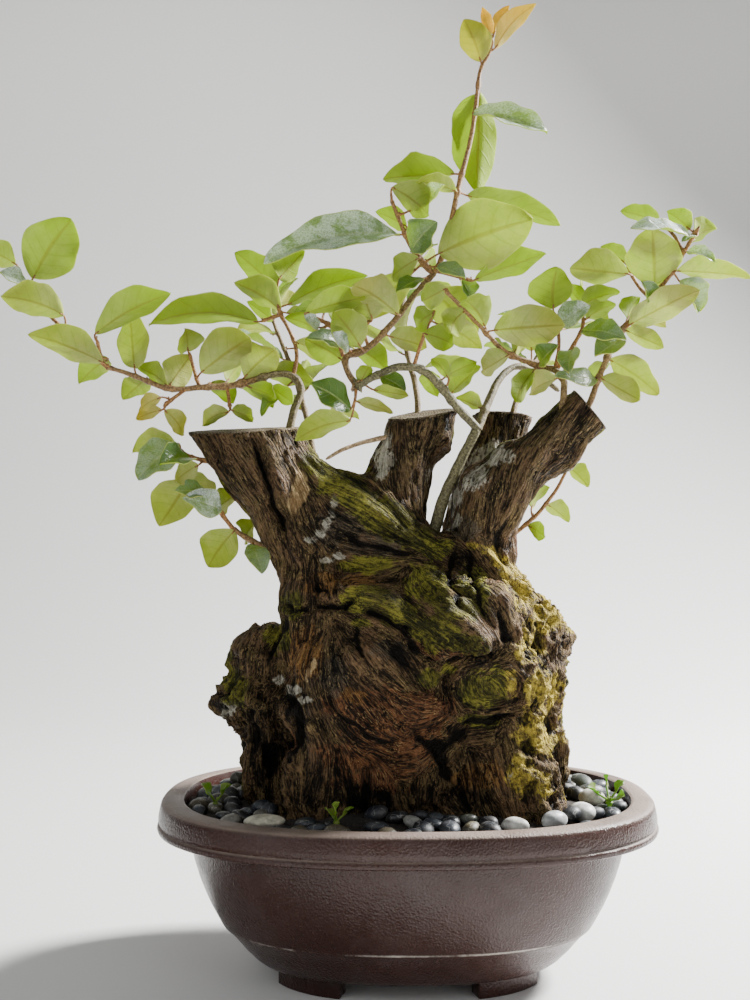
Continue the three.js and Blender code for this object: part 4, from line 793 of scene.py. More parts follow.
class Paint(Nodes):
    """The nodes of a new material, round its Principled shader."""

    def __init__(self, name, **sockets):
        self.material = bpy.data.materials.new(name)
        self.material.use_nodes = True
        super().__init__(self.material.node_tree)
        self.shader = self.tree.nodes["Principled BSDF"]
        self.finished(**sockets)

    def finished(self, **sockets):
        """The material, with the shader's inputs set or linked."""
        self.feed(self.shader, {name.replace("_", " "): value for name, value in sockets.items()})
        return self.material

    def lit_through(self, colour, share, normal):
        """Lets light through the blade, as a thin leaf does."""
        glow = self.add("BsdfTranslucent", {"Color": coloured(colour), "Normal": normal})
        both = self.add("MixShader", {0: share, 1: self.shader.outputs[0], 2: glow.outputs[0]})
        output = next(node for node in self.tree.nodes if node.type == "OUTPUT_MATERIAL")
        self.tree.links.new(both.outputs[0], output.inputs["Surface"])


def shader_group(name, numbers, vectors, mask_of):
    """A group, made once, that puts out a mask from a place and the named inputs."""
    group = bpy.data.node_groups.get(name)
    if group is None:
        group = bpy.data.node_groups.new(name, "ShaderNodeTree")
        for vector in ("Place", *vectors):
            group.interface.new_socket(vector, in_out="INPUT", socket_type="NodeSocketVector")
        for number, default in numbers.items():
            socket = group.interface.new_socket(number, in_out="INPUT", socket_type="NodeSocketFloat")
            socket.default_value = default
        group.interface.new_socket("Mask", in_out="OUTPUT", socket_type="NodeSocketFloat")
        given, out = group.nodes.new("NodeGroupInput").outputs, group.nodes.new("NodeGroupOutput")
        mask = mask_of(Nodes(group, given["Place"]), given)
        group.links.new(mask, out.inputs["Mask"])
    return group


def patchy_mask(nodes, given):
    """Spots and patches: large noise broken up by fine noise, sharpened about a threshold."""
    large = nodes.noise(given["Scale"], 2.0, 0.5)
    fine = nodes.noise(nodes.times(given["Scale"], 6.0), 4.0, 0.65)
    threshold = nodes.times_plus(given["Amount"], -0.5, 0.75)
    low, high = (nodes.times_plus(given["Edge"], sign, threshold) for sign in (-1.0, 1.0))
    return nodes.eased(nodes.weighted((large, 0.6), (fine, 0.4)), low, high)


def fibre_mask(nodes, given):
    """Fibres: noise averaged at close steps along the grain."""
    values = []
    for tap in range(FIBRE_TAPS):
        reach = nodes.maths("DIVIDE", FIBRE_STEP * (tap - (FIBRE_TAPS - 1) / 2), given["Scale"])
        offset = nodes.add("VectorMath", {0: given["Grain"], "Scale": reach}, operation="SCALE").outputs[0]
        place = nodes.add("VectorMath", {0: nodes.place, 1: offset}, operation="ADD").outputs[0]
        values.append((nodes.noise(given["Scale"], 0.0, place=place), 1 / FIBRE_TAPS))
    return nodes.eased(nodes.weighted(*values), 0.43, 0.57)


# Materials
def pot_plastic(settings):
    """Dark moulded plastic with a leathery grain, a dusty rim, scuffs along the crease and faint pale
    patches of painted reflection.
    """
    paint = Paint("Pot plastic", Specular_IOR_Level=0.34)
    height = paint.parts(paint.place)["Z"]
    upward = paint.parts(paint.add("TexCoord").outputs["Normal"])["Z"]
    clouds = paint.eased(paint.noise(14, 4.0), 0.35, 0.7)
    colour = paint.mix(clouds, settings.plastic, scaled_colour(settings.plastic, 1.35, 1.4, 1.45))
    # Painted reflection: faint pale patches stand in for the plastic's sheen.
    colour = paint.laid(colour, paint.patchy(11, 0.34, 0.12), 0.06, (0.3, 0.27, 0.27))
    dust = paint.eased(paint.noise(30, 5.0), 0.2, 0.6, 0.35, 0.85)
    dust = paint.times(paint.times(paint.eased(upward, 0.35, 0.85), dust), paint.eased(height, 0.09, 0.1))
    colour = paint.mix(dust, colour, settings.dust)
    crease = paint.times_plus(paint.noise(60, 4.0), 0.0012, paint.off(height, POT_CREASE * MM))
    band = paint.eased(crease, 0.0006, 0.0017, 1.0, 0.0)
    worn = paint.eased(paint.noise(13, 6.0, 0.75), 0.42, 0.66, 0.0, 0.8)
    nick = paint.eased(paint.cells(34), 0.0, 0.035, 1.0, 0.0)
    under_rim = paint.eased(paint.off(height, POT_RIM * MM), 0.004, 0.012, 1.0, 0.0)
    scuff = paint.maths("MAXIMUM", paint.times(band, worn), paint.times(nick, under_rim))
    colour = paint.mix(scuff, colour, (0.62, 0.57, 0.5))
    rough = paint.eased(paint.noise(55, 4.0), 0.3, 0.7, 0.2, 0.32)
    rough = paint.times_plus(paint.maths("MAXIMUM", dust, scuff), 0.4, rough)
    grain = paint.cells(720, "SMOOTH_F1")
    relief = paint.weighted((grain, 1.0), (paint.noise(1000), 0.7), (scuff, -0.6))
    relief = paint.times(relief, paint.eased(paint.attribute("inside"), 0.0, 1.0, 1.0, 0.12))
    return paint.finished(Base_Color=colour, Roughness=rough, Normal=paint.bumped(relief, 0.65, 0.0006))


def potting_soil(settings):
    """Dark crumbs with pale grit."""
    paint = Paint("Potting soil", Roughness=0.95)
    grains = paint.eased(paint.noise(420, 6.0, 0.7), 0.35, 0.7)
    colour = paint.mix(grains, scaled_colour(settings.soil, 0.35, 0.35, 0.35), settings.soil)
    grit = paint.eased(paint.cells(330), 0.0, 0.16, 1.0, 0.0)
    colour = paint.laid(colour, grit, paint.patchy(60, 0.45), (0.2, 0.17, 0.13))
    return paint.finished(Base_Color=colour, Normal=paint.bumped(paint.noise(500, 6.0, 0.7), 0.9, 0.002))


def pebble_stone(name, steps):
    """Water-worn stone: each pebble has its own tint, with specks, veins and a dull polish."""
    paint = Paint(name)
    colour = paint.steps(paint.attribute("tint"), steps)
    blotches = paint.eased(paint.noise(130, 5.0, 0.65), 0.35, 0.7, 0.55, 1.35)
    grey = paint.add("CombineColor", {"Red": blotches, "Green": blotches, "Blue": blotches})
    colour = paint.mix(1.0, colour, grey.outputs["Color"], "MULTIPLY")
    colour = paint.laid(colour, paint.eased(paint.noise(900, 2.0), 0.66, 0.74), 0.3, (0.4, 0.4, 0.38))
    veins = paint.eased(paint.waves(30.0, 14.0, 3.0), 0.985, 1.0)
    colour = paint.laid(colour, veins, 0.4, (0.45, 0.44, 0.4))
    colour = paint.laid(colour, paint.patchy(50, 0.32, 0.15), 0.3, (0.2, 0.17, 0.13))
    rough = paint.eased(paint.noise(100), 0.3, 0.7, 0.34, 0.6)
    normal = paint.bumped(paint.noise(700, 4.0), 0.25, 0.0006)
    return paint.finished(Base_Color=colour, Roughness=rough, Normal=normal)


def old_bark(settings):
    """Bark with its fibres, and the moss, lichen and bare wood on it where the points say, with painted
    shade in its crevices and recesses, painted sunlight on the stubs' pale faces and the scar's right side,
    and painted golden highlights.
    """
    paint = Paint("Old bark", Specular_IOR_Level=0.16)
    grain = paint.attribute("grain", "Vector")
    cords, strands, threads = (paint.fibres(grain, scale) for scale in (300.0, 650.0, 1400.0))
    mottle = paint.eased(paint.noise(70, 6.0, 0.65), 0.32, 0.68)
    crumbs = paint.eased(paint.noise(420, 5.0, 0.7), 0.35, 0.68)
    edges = paint.weighted((crumbs, 0.45), (mottle, 0.3), (strands, 0.25))

    fibre = paint.weighted((cords, 0.2), (strands, 0.3), (threads, 0.24), (paint.attribute("strand"), 0.26))
    fibre = paint.eased(fibre, 0.24, 0.84)
    colour = paint.mix(fibre, scaled_colour(settings.bark, 0.1, 0.1, 0.1), settings.bark)
    olive = paint.mix(fibre, (0.008, 0.008, 0.003), (0.125, 0.105, 0.035))
    colour = paint.laid(colour, mottle, 0.6, olive)

    def covered(under, name, over, ragged, most):
        """The colour under, covered where the named attribute says, with a ragged edge."""
        swing = paint.times_plus(edges, 2.0 * ragged, 1.0 - ragged)
        amount = paint.times(paint.attribute(name), swing)
        return paint.mix(paint.eased(amount, 0.22, 0.7, 0.0, most), under, over)

    rust = paint.mix(fibre, (0.009, 0.003, 0.002), (0.19, 0.062, 0.026))
    rust = paint.laid(rust, paint.patchy(55, 0.4, 0.1), fibre, (0.3, 0.12, 0.045))
    colour = covered(colour, "red", rust, 1.0, 0.7)
    # Grey bark, and painted shade under the shoulder
    slate = paint.mix(fibre, (0.01, 0.009, 0.007), (0.11, 0.095, 0.07))
    colour = covered(colour, "grey", slate, 0.9, 0.7)
    amber = paint.mix(fibre, (0.03, 0.013, 0.004), (0.38, 0.19, 0.06))
    colour = covered(colour, "orange", amber, 0.8, 0.8)
    # Pale fibres and painted highlights: golden flecks on the fibre crests
    bright = paint.eased(paint.times_plus(crumbs, 0.3, threads), 0.95, 1.25, 0.0, 0.6)
    colour = paint.laid(colour, bright, mottle, (0.5, 0.35, 0.16))
    tan = paint.mix(fibre, (0.26, 0.16, 0.07), (0.68, 0.5, 0.25))
    colour = covered(colour, "bare", tan, 0.35, 1.0)
    # Pale wood, and painted sunlight on the stubs' lit faces
    pale_and_sunlit = paint.mix(fibre, (0.3, 0.27, 0.2), (0.72, 0.68, 0.56))
    colour = covered(colour, "pale", pale_and_sunlit, 1.0, 0.95)

    tufts = paint.weighted((fibre, 0.55), (paint.eased(paint.noise(300, 6.0, 0.72), 0.33, 0.7), 0.45))
    moss = paint.mix(paint.eased(tufts, 0.1, 0.9), settings.moss_shade, settings.moss)
    shaded = paint.eased(paint.noise(38, 4.0), 0.4, 0.62, 0.0, 0.7)
    moss = paint.mix(shaded, moss, paint.mix(tufts, (0.012, 0.012, 0.004), (0.085, 0.08, 0.02)))
    colour = covered(colour, "moss", moss, 0.75, 0.9)
    # Yellow lichen, with painted sunlight on the scar's right side
    scales = paint.eased(paint.noise(170, 6.0, 0.75), 0.36, 0.62)
    lichen_and_sunlight = paint.mix(scales, (0.09, 0.065, 0.02), settings.lichen_and_sunlight)
    lichen_and_sunlight = paint.mix(paint.patchy(90, 0.16, 0.05), lichen_and_sunlight, (0.5, 0.47, 0.34))
    colour = covered(colour, "lichen_and_sunlight", lichen_and_sunlight, 1.0, 0.95)
    rings = paint.waves(160.0, 5.0, 2.0, wave_type="RINGS", rings_direction="Z")
    end_grain = paint.mix(rings, (0.14, 0.1, 0.06), (0.34, 0.27, 0.18))
    colour = covered(colour, "sawn", end_grain, 0.3, 0.9)

    # Painted shade: the crevices, the grooves between the fibres and the dark recesses go near black
    depth = paint.times_plus(fibre, -0.25, paint.attribute("crevice"))
    colour = paint.mix(paint.eased(depth, 0.0, 0.75, 0.0, 0.97), colour, (0.004, 0.003, 0.002))
    rough = paint.eased(mottle, 0.0, 1.0, 0.55, 0.92)
    relief = paint.weighted((strands, 1.0), (threads, 0.6), (cords, 0.9), (crumbs, 0.45))
    return paint.finished(Base_Color=colour, Roughness=rough, Normal=paint.bumped(relief, 1.0, 0.002))


def twig_bark():
    """Brown twigs: scurfy and orange-brown when young, grey-green on the old stems."""
    paint = Paint("Twig bark", Roughness=0.6)
    mottle = paint.eased(paint.noise(700, 5.0, 0.7), 0.35, 0.68)
    young = paint.mix(mottle, (0.16, 0.06, 0.016), (0.52, 0.26, 0.08))
    old = paint.mix(mottle, (0.05, 0.042, 0.018), (0.26, 0.235, 0.11))
    colour = paint.mix(paint.attribute("age"), young, old)
    flecks = paint.eased(paint.cells(900), 0.0, 0.22, 1.0, 0.0)
    colour = paint.laid(colour, flecks, 0.35, (0.55, 0.47, 0.33))
    return paint.finished(Base_Color=colour, Normal=paint.bumped(mottle, 0.5, 0.0006))


def dead_wood():
    """Pale tan weathered wood."""
    paint = Paint("Dead wood", Roughness=0.85)
    mottle = paint.eased(paint.noise(500, 6.0, 0.7), 0.35, 0.68)
    colour = paint.mix(mottle, (0.2, 0.12, 0.06), (0.6, 0.44, 0.26))
    return paint.finished(Base_Color=colour, Normal=paint.bumped(mottle, 0.6, 0.0008))


def leaf_veins(paint):
    """From the leaf's own map: masks for midrib, side veins and margin, and the share of its length."""
    leaf_map = paint.parts(paint.add("TexCoord").outputs["UV"])
    across, along = leaf_map["X"], leaf_map["Y"]
    outward = paint.maths("ABSOLUTE", paint.times_plus(across, 2.0, -1.0))
    midrib = paint.eased(outward, 0.02, 0.08, 1.0, 0.0)
    climb = paint.times(paint.times_plus(outward, -0.16, along), 50.0)
    veins = paint.eased(paint.maths("SINE", climb), 0.86, 1.0)
    veins = paint.times(veins, paint.eased(outward, 0.55, 0.92, 1.0, 0.0))
    return midrib, veins, paint.eased(outward, 0.93, 0.99), along


def leaf_upper(settings):
    """The leathery upper face: dark green under a frost of silver scales, their white partly a painted sheen
    of sunlight.
    """
    paint = Paint("Leaf upper face", Roughness=0.3, Specular_IOR_Level=0.6)
    midrib, veins, margin, _ = leaf_veins(paint)
    age = paint.attribute("age")
    lightest = scaled_colour(settings.upper, 3.6, 2.2, 1.4)
    colour = paint.mix(paint.attribute("tint"), settings.upper, lightest)
    mottle = paint.eased(paint.noise(160, 4.0), 0.35, 0.7)
    colour = paint.laid(colour, mottle, 0.3, (0.08, 0.19, 0.03))
    colour = paint.mix(age, colour, (0.5, 0.42, 0.06))
    colour = paint.laid(colour, veins, 0.2, (0.16, 0.28, 0.08))
    colour = paint.laid(colour, midrib, 0.6, (0.3, 0.33, 0.12))
    scales = paint.eased(paint.cells(1300), 0.08, 0.34, 1.0, 0.0)
    # Silver scales and painted sheen: near-white where the sun would catch the scales
    scales_and_sheen_share = paint.times_plus(paint.attribute("scales_and_sheen"), 0.9, -0.25, use_clamp=True)
    scales_and_sheen = paint.times(paint.eased(paint.noise(75, 4.0, 0.7), 0.36, 0.56, 0.2, 1.0), scales_and_sheen_share)
    grains = paint.weighted((paint.eased(paint.noise(900, 3.0, 0.8), 0.4, 0.54), 0.6), (scales, 0.4))
    colour = paint.laid(colour, scales_and_sheen, paint.times_plus(grains, 0.75, 0.25), (0.88, 0.94, 0.93))
    colour = paint.laid(colour, margin, 0.75, (0.5, 0.52, 0.16))
    relief = paint.weighted((mottle, 0.6), (veins, -1.0), (midrib, -1.0), (scales, 0.3))
    normal = paint.bumped(relief, 0.6, 0.0005)
    paint.lit_through(paint.mix(age, settings.glow, (0.95, 0.6, 0.08)), 0.2, normal)
    return paint.finished(Base_Color=colour, Normal=normal)


def leaf_underside(settings):
    """The pale underside, silvery with scales and brown specks, its midrib standing out; its yellow-green
    tints are painted sunlight shining through the blade, its olive tints painted shade.
    """
    paint = Paint("Leaf underside", Roughness=0.6, Specular_IOR_Level=0.16)
    midrib, veins, margin, along = leaf_veins(paint)
    tint, age = paint.attribute("tint"), paint.attribute("age")
    yellow = settings.underside
    # Painted light: yellow-green where sun shines through the blade, olive where it is shaded
    colour = paint.steps(tint, [
        (0.0, yellow), (0.25, scaled_colour(yellow, 0.9, 0.9, 1.4)),
        (0.5, scaled_colour(yellow, 1.35, 1.06, 4.5)), (0.7, scaled_colour(yellow, 1.5, 1.0, 7.0)),
        (0.85, scaled_colour(yellow, 1.25, 0.74, 6.5)), (1.0, scaled_colour(yellow, 0.65, 0.5, 3.0)),
    ])
    colour = paint.mix(age, colour, (0.6, 0.42, 0.03))
    paling = paint.eased(paint.times_plus(paint.noise(38), 1.2, along), 0.75, 1.45, 0.85, 0.0)
    body = paint.laid(colour, paling, paint.maths("SQRT", tint), (0.74, 0.74, 0.34))
    mottle = paint.eased(paint.noise(150, 6.0, 0.75), 0.36, 0.66)
    colour = paint.laid(body, mottle, 0.4, scaled_colour(yellow, 0.6, 0.66, 1.4))
    specks = paint.eased(paint.cells(620), 0.06, 0.2, 1.0, 0.0)
    colour = paint.laid(colour, specks, 0.3, (0.24, 0.17, 0.05))
    colour = paint.laid(colour, veins, 0.25, (0.25, 0.3, 0.06))
    colour = paint.laid(colour, midrib, 0.75, (0.3, 0.2, 0.06))
    colour = paint.laid(colour, margin, 0.7, (0.7, 0.66, 0.24))
    relief = paint.weighted((veins, 0.6), (midrib, 1.0), (mottle, 0.5))
    normal = paint.bumped(relief, 0.5, 0.0006)
    through = paint.mix(0.45, paint.mix(0.4, body, colour), settings.glow)
    paint.lit_through(paint.mix(age, through, (0.95, 0.68, 0.04)), 0.55, normal)
    return paint.finished(Base_Color=colour, Normal=normal)


def weed_leaf(settings):
    """Soft bright green, mottled."""
    paint = Paint("Weed leaflet", Roughness=0.5)
    mottle = paint.eased(paint.noise(200, 4.0), 0.3, 0.7)
    colour = paint.mix(mottle, settings.weed, scaled_colour(settings.weed, 1.8, 1.4, 1.6))
    colour = paint.mix(paint.attribute("age"), colour, (0.42, 0.4, 0.1))
    normal = paint.bumped(mottle, 0.3, 0.0004)
    paint.lit_through((0.35, 0.75, 0.06), 0.35, normal)
    return paint.finished(Base_Color=colour, Normal=normal)


# The pot
def leave_outwards():
    """Leaves edit mode with every face turned outwards."""
    bpy.ops.mesh.select_all(action="SELECT")
    bpy.ops.mesh.normals_make_consistent(inside=False)
    bpy.ops.object.mode_set(mode="OBJECT")


def rings_up(profile, sides, name):
    """A closed solid through ovals, extruded one after another from the first."""
    first = profile[0]
    deselect()
    bpy.ops.mesh.primitive_circle_add(vertices=sides, radius=1, fill_type="NGON")
    piece = named(name)
    turn = 2 * np.pi * np.arange(sides) / sides
    x = np.sign(np.cos(turn)) * np.abs(np.cos(turn)) ** (2 / POT_SQUARENESS)
    y = np.sign(np.sin(turn)) * np.abs(np.sin(turn)) ** (2 / POT_SQUARENESS) * POT_DEPTH_SHARE
    move_points(piece, np.stack([x * first[0], y * first[0], np.full(sides, first[1])], axis=1))
    bpy.ops.object.mode_set(mode="EDIT")
    bpy.ops.mesh.select_all(action="SELECT")
    for (half, z), (next_half, next_z) in zip(profile, profile[1:]):
        bpy.ops.mesh.extrude_region_move(TRANSFORM_OT_translate={"value": (0, 0, next_z - z)})
        share = next_half / half
        bpy.ops.transform.resize(value=(share, share, 1), center_override=(0, 0, next_z))
    leave_outwards()
    return piece


def make_foot(side, front):
    """A low foot that follows the edge of the base."""
    steps = 12
    deselect()
    bpy.ops.mesh.primitive_grid_add(x_subdivisions=steps, y_subdivisions=1, size=2)
    foot = bpy.context.object
    flat = points_of(foot)
    along = POT_BASE - FOOT_INSET
    x = FOOT_FROM + (FOOT_TO - FOOT_FROM) * (flat[:, 0] + 1) / 2
    edge = along * POT_DEPTH_SHARE * (1 - (x / along) ** POT_SQUARENESS) ** (1 / POT_SQUARENESS)
    inner = flat[:, 1] < 0
    x = np.where(inner, x - FOOT_SLANT, x)
    y = np.where(inner, edge - FOOT_DEPTH, edge)
    move_points(foot, np.stack([side * x, front * y, np.zeros(len(x))], axis=1))
    bpy.ops.object.mode_set(mode="EDIT")
    bpy.ops.mesh.select_all(action="SELECT")
    bpy.ops.mesh.extrude_region_move(TRANSFORM_OT_translate={"value": (0, 0, FOOT_HEIGHT + 2)})
    leave_outwards()
    with_modifier(foot, "BEVEL", width=0.7, segments=2, limit_method="ANGLE", angle_limit=math.radians(50))
    return foot


def make_pot(settings):
    pot = rings_up(POT_OUTSIDE + POT_INSIDE, POT_SIDES, "pot_shell")
    for side, front in itertools.product((-1, 1), repeat=2):
        foot = make_foot(side, front)
        with_modifier(pot, "BOOLEAN", object=foot, operation="UNION", solver="EXACT")
        discard(foot)
    for side in (-1, 1):
        deselect()
        bpy.ops.mesh.primitive_cylinder_add(
            vertices=48, radius=DRAIN_RADIUS, depth=20,
            location=(side * DRAIN_SPACING / 2, 0, FOOT_HEIGHT + 2),
        )
        cut_away(pot, bpy.context.object)
    smooth(pot, 40)
    level, facing = points_of(pot)[:, :2], normals_of(pot)[:, :2]
    inward = -(facing * level).sum(axis=1) / np.hypot(*level.T)
    set_values(pot, "inside", smoothstep(0.1, 0.6, inward))
    settled(pot, "pot", ["pot"], pot_plastic(settings))


def cut_away(piece, cutter):
    with_modifier(piece, "BOOLEAN", object=cutter, operation="DIFFERENCE", solver="EXACT")
    discard(cutter)


# Soil and pebbles
def make_soil(settings):
    """The soil up to the pebbles, lumpy on top."""
    inside = [(half - CLEARANCE, z) for half, z in reversed(POT_INSIDE) if z < SOIL_TOP - 4]
    top = [(SOIL_REACH + 1, SOIL_TOP - 2), (SOIL_REACH, SOIL_TOP)]
    top += [(half, SOIL_TOP) for half in range(SOIL_REACH - 6, 6, -6)]
    profile = [(inside[0][0], inside[0][1] + CLEARANCE), *inside[1:], *top]
    soil = rings_up(profile, SOIL_SIDES, "soil_bed")
    points = points_of(soil)
    on_top = (points[:, 2] > SOIL_TOP - 1) & (oval_reach(points[:, 0], points[:, 1]) < SOIL_REACH - 1)
    height = mound_height(points[:, 0], points[:, 1]) - 1.5
    height += 1.6 * lumps(points, 14, 2) + 0.9 * lumps(points, 5, 3)
    points[:, 2] = np.where(on_top, height, points[:, 2])
    move_points(soil, points)
    smooth(soil, 60)
    settled(soil, "soil", ["soil"], potting_soil(settings))


def pebble_master():
    deselect()
    bpy.ops.mesh.primitive_ico_sphere_add(subdivisions=2, radius=1)
    return named("pebble_master")


def spread_pebbles(count, seed, smallest, largest, keep):
    """Stones in one layer, pushed apart until they lie side by side: x, y and radius of each."""
    rng = np.random.default_rng(seed)
    angle = rng.uniform(0, 2 * np.pi, count)
    reach = START_REACH * np.sqrt(rng.uniform(0.02, 1, count))
    x, y = reach * np.cos(angle), reach * np.sin(angle) * POT_DEPTH_SHARE
    radius = rng.uniform(smallest / 2, largest / 2, count)
    for _ in range(SPREAD_ROUNDS):
        gap_x, gap_y = x[:, None] - x[None], y[:, None] - y[None]
        gap = np.hypot(gap_x, gap_y) + 1e-6
        wanted = (radius[:, None] + radius[None]) * NEARNESS
        push = np.clip(wanted - gap, 0, None)
        np.fill_diagonal(push, 0)
        x += SPREAD_PUSH * (push * gap_x / gap).sum(axis=1)
        y += SPREAD_PUSH * (push * gap_y / gap).sum(axis=1)
        inward = np.minimum(1, (PEBBLE_REACH - radius) / np.maximum(oval_reach(x, y), 1))
        x, y = x * inward, y * inward
    kept = keep(x, y, radius, rng)
    return x[kept], y[kept], radius[kept]


def clear_of_wood(x, y, z, radius):
    return wood_distance(np.stack([x, y, z], axis=1)) > radius * 0.7


def make_pebbles(settings):
    """Two layers of river pebbles, the upper one only where they are banked up."""
    rng = np.random.default_rng(settings.seed)
    master = pebble_master()
    sphere = points_of(master)

    def lower(x, y, radius, random_numbers):
        z = mound_height(x, y) + 3
        bare_front = (np.abs(x - THIN_MIDDLE) < THIN_HALF) & (y < THIN_EDGE)
        thinned = random_numbers.uniform(size=len(x)) < THIN_SHARE
        return clear_of_wood(x, y, z, radius) & ~(bare_front & thinned)

    def upper(x, y, radius, random_numbers):
        z = mound_height(x, y) + 8
        banked = ((np.abs(x) > BANK_SIDE) | (y > BANK_BACK)) & (oval_reach(x, y) < BANK_REACH)
        kept = random_numbers.uniform(size=len(x)) < BANK_SHARE
        return clear_of_wood(x, y, z, radius) & banked & kept

    stones = []
    layers = (
        (settings.count, settings.seed, lower, LOWER_LIFT),
        (settings.count // 2, settings.seed + 1, upper, UPPER_LIFT),
    )
    for count, seed, keep, lift in layers:
        x, y, radius = spread_pebbles(count, seed, settings.smallest, settings.largest, keep)
        for at_x, at_y, half in zip(x, y, radius):
            if near_light_pebble(at_x, at_y, half):
                continue
            size = [half * rng.uniform(*limits) for limits in PEBBLE_FORM]
            turn, tilt = rng.uniform(0, np.pi), rng.uniform(-0.35, 0.35, 2)
            shape = sphere * (1 + 0.07 * lumps(sphere + rng.uniform(0, 99, 3), 0.9))[:, None]
            shape = shape * size @ turned(turn, *tilt).T
            at_z = float(mound_height(at_x, at_y)) + lift + rng.uniform(-1, 1)
            stone = copied(master)
            move_points(stone, shape + (at_x, at_y, at_z))
            set_values(stone, "tint", rng.uniform())
            stones.append(stone)
    discard(master)
    bed = joined(stones, "pebble_bed")
    smooth(bed)
    slate = pebble_stone("Slate pebble", [
        (0.0, (0.009, 0.01, 0.013)), (0.35, (0.02, 0.024, 0.031)), (0.6, (0.04, 0.047, 0.058)),
        (0.78, (0.034, 0.042, 0.03)), (0.9, (0.08, 0.063, 0.036)), (0.98, (0.22, 0.22, 0.2)),
    ])
    settled(bed, "gravel", ["gravel"], slate)
    make_light_pebbles()


def turned(about_z, about_x, about_y):
    cos, sin = np.cos, np.sin
    spin = np.array([[cos(about_z), -sin(about_z), 0], [sin(about_z), cos(about_z), 0], [0, 0, 1]])
    nod = np.array([[1, 0, 0], [0, cos(about_x), -sin(about_x)], [0, sin(about_x), cos(about_x)]])
    roll = np.array([[cos(about_y), 0, sin(about_y)], [0, 1, 0], [-sin(about_y), 0, cos(about_y)]])
    return spin @ nod @ roll


def near_light_pebble(x, y, radius):
    return any(math.hypot(x - at[0], y - at[1]) < radius * 0.7 + (size[0] + size[1]) / 2
               for at, size, _, _ in LIGHT_PEBBLES)


def make_light_pebbles():
    stone = pebble_stone("Pale pebble", [
        (0.0, (0.5, 0.46, 0.34)), (0.4, (0.62, 0.6, 0.52)), (0.7, (0.42, 0.44, 0.44)),
        (1.0, (0.7, 0.69, 0.64)),
    ])
    for index, (at, size, turn, tint) in enumerate(LIGHT_PEBBLES):
        deselect()
        bpy.ops.mesh.primitive_ico_sphere_add(subdivisions=4, radius=1)
        pebble = named(f"pale_pebble_{index + 1}")
        sphere = points_of(pebble)
        shape = sphere * (1 + 0.08 * lumps(sphere + index * 7, 0.9))[:, None] * size
        move_points(pebble, shape @ turned(turn, 0, 0).T + at)
        set_values(pebble, "tint", tint)
        smooth(pebble)
        settled(pebble, "light_pebble", [f"light_pebble_{index + 1}"], stone)


# The stump
def stump_blank():
    """The burls and limbs as plain solids, run together, hollowed and sawn."""
    parts = []
    for x, y, z, width, depth, height in BURLS:
        bpy.ops.mesh.primitive_uv_sphere_add(
            segments=32, ring_count=16, radius=1, location=(x, y, z), scale=(width, depth, height))
        parts.append(bpy.context.object)
    for start, end, girth in LIMBS:
        run = Vector(end) - Vector(start)
        bpy.ops.mesh.primitive_cone_add(
            vertices=32, radius1=girth[0], radius2=girth[1], depth=run.length,
            location=(Vector(start) + Vector(end)) / 2, rotation=run.to_track_quat("Z", "Y").to_euler())
        parts.append(bpy.context.object)
        for place, radius in zip((start, end), girth):
            bpy.ops.mesh.primitive_uv_sphere_add(segments=24, ring_count=12, radius=radius, location=place)
            parts.append(bpy.context.object)
    stump = joined(with_places_applied(parts), "stump_wood")
    with_modifier(stump, "REMESH", mode="VOXEL", voxel_size=BLANK_VOXEL)
    for x, y, z, width, depth, height in HOLLOWS:
        deselect()
        bpy.ops.mesh.primitive_uv_sphere_add(
            segments=24, ring_count=12, radius=1, location=(x, y, z), scale=(width, depth, height))
        cut_away(stump, bpy.context.object)
    for at, facing, reach in SAW_CUTS:
        facing = Vector(facing).normalized()
        deselect()
        bpy.ops.mesh.primitive_cylinder_add(
            vertices=32, radius=reach, depth=80, location=Vector(at) + facing * 40,
            rotation=facing.to_track_quat("Z", "Y").to_euler())
        cut_away(stump, bpy.context.object)
    deselect()
    bpy.ops.mesh.primitive_cube_add(size=1, location=(0, 0, TRUNK_FOOT - 40), scale=(500, 400, 80))
    cut_away(stump, bpy.context.object)
    return stump


def grain_of(points, normals):
    """The way the wood's fibres run along its surface."""
    sway = 1.1 * lumps(points, 60, 3)
    upright = np.stack([np.sin(sway), 0.4 * np.sin(2 * sway), np.cos(sway)], axis=1)
    total = 0.3 * upright
    for limb in LIMBS:
        run = unit(np.subtract(limb[1], limb[0]))
        weight = np.exp(-np.maximum(limb_distance(points, limb), 0) / 7)
        agrees = np.where(upright @ run < 0, -1, 1)
        total += (weight * agrees)[:, None] * run
    total /= np.maximum(np.linalg.norm(total, axis=1, keepdims=True), 1e-6)
    x, z = as_seen(points)
    guided, weight = flow_at(x, z)
    guided_by = np.clip(weight * 2, 0, 1) * smoothstep(-0.1, -0.5, normals[:, 1])
    agrees = np.where((guided * total).sum(axis=1) < 0, -1, 1)
    total = total * (1 - guided_by[:, None]) + guided * (guided_by * agrees)[:, None]
    across, up = (x - SCAR[0]) / SCAR[2], (z - SCAR[1]) / SCAR[3]
    near = 2.5 * np.exp(-2.2 * np.abs(np.hypot(across, up) - 1.15)) * (normals[:, 1] < -0.1)
    around = np.stack([-up * SCAR[2], np.zeros(len(x)), across * SCAR[3]], axis=1)
    around /= np.maximum(np.linalg.norm(around, axis=1, keepdims=True), 1e-6)
    agrees = np.where((around * upright).sum(axis=1) < 0, -1, 1)
    total += (near * agrees)[:, None] * around
    total -= (total * normals).sum(axis=1, keepdims=True) * normals
    return total / np.maximum(np.linalg.norm(total, axis=1, keepdims=True), 1e-6)


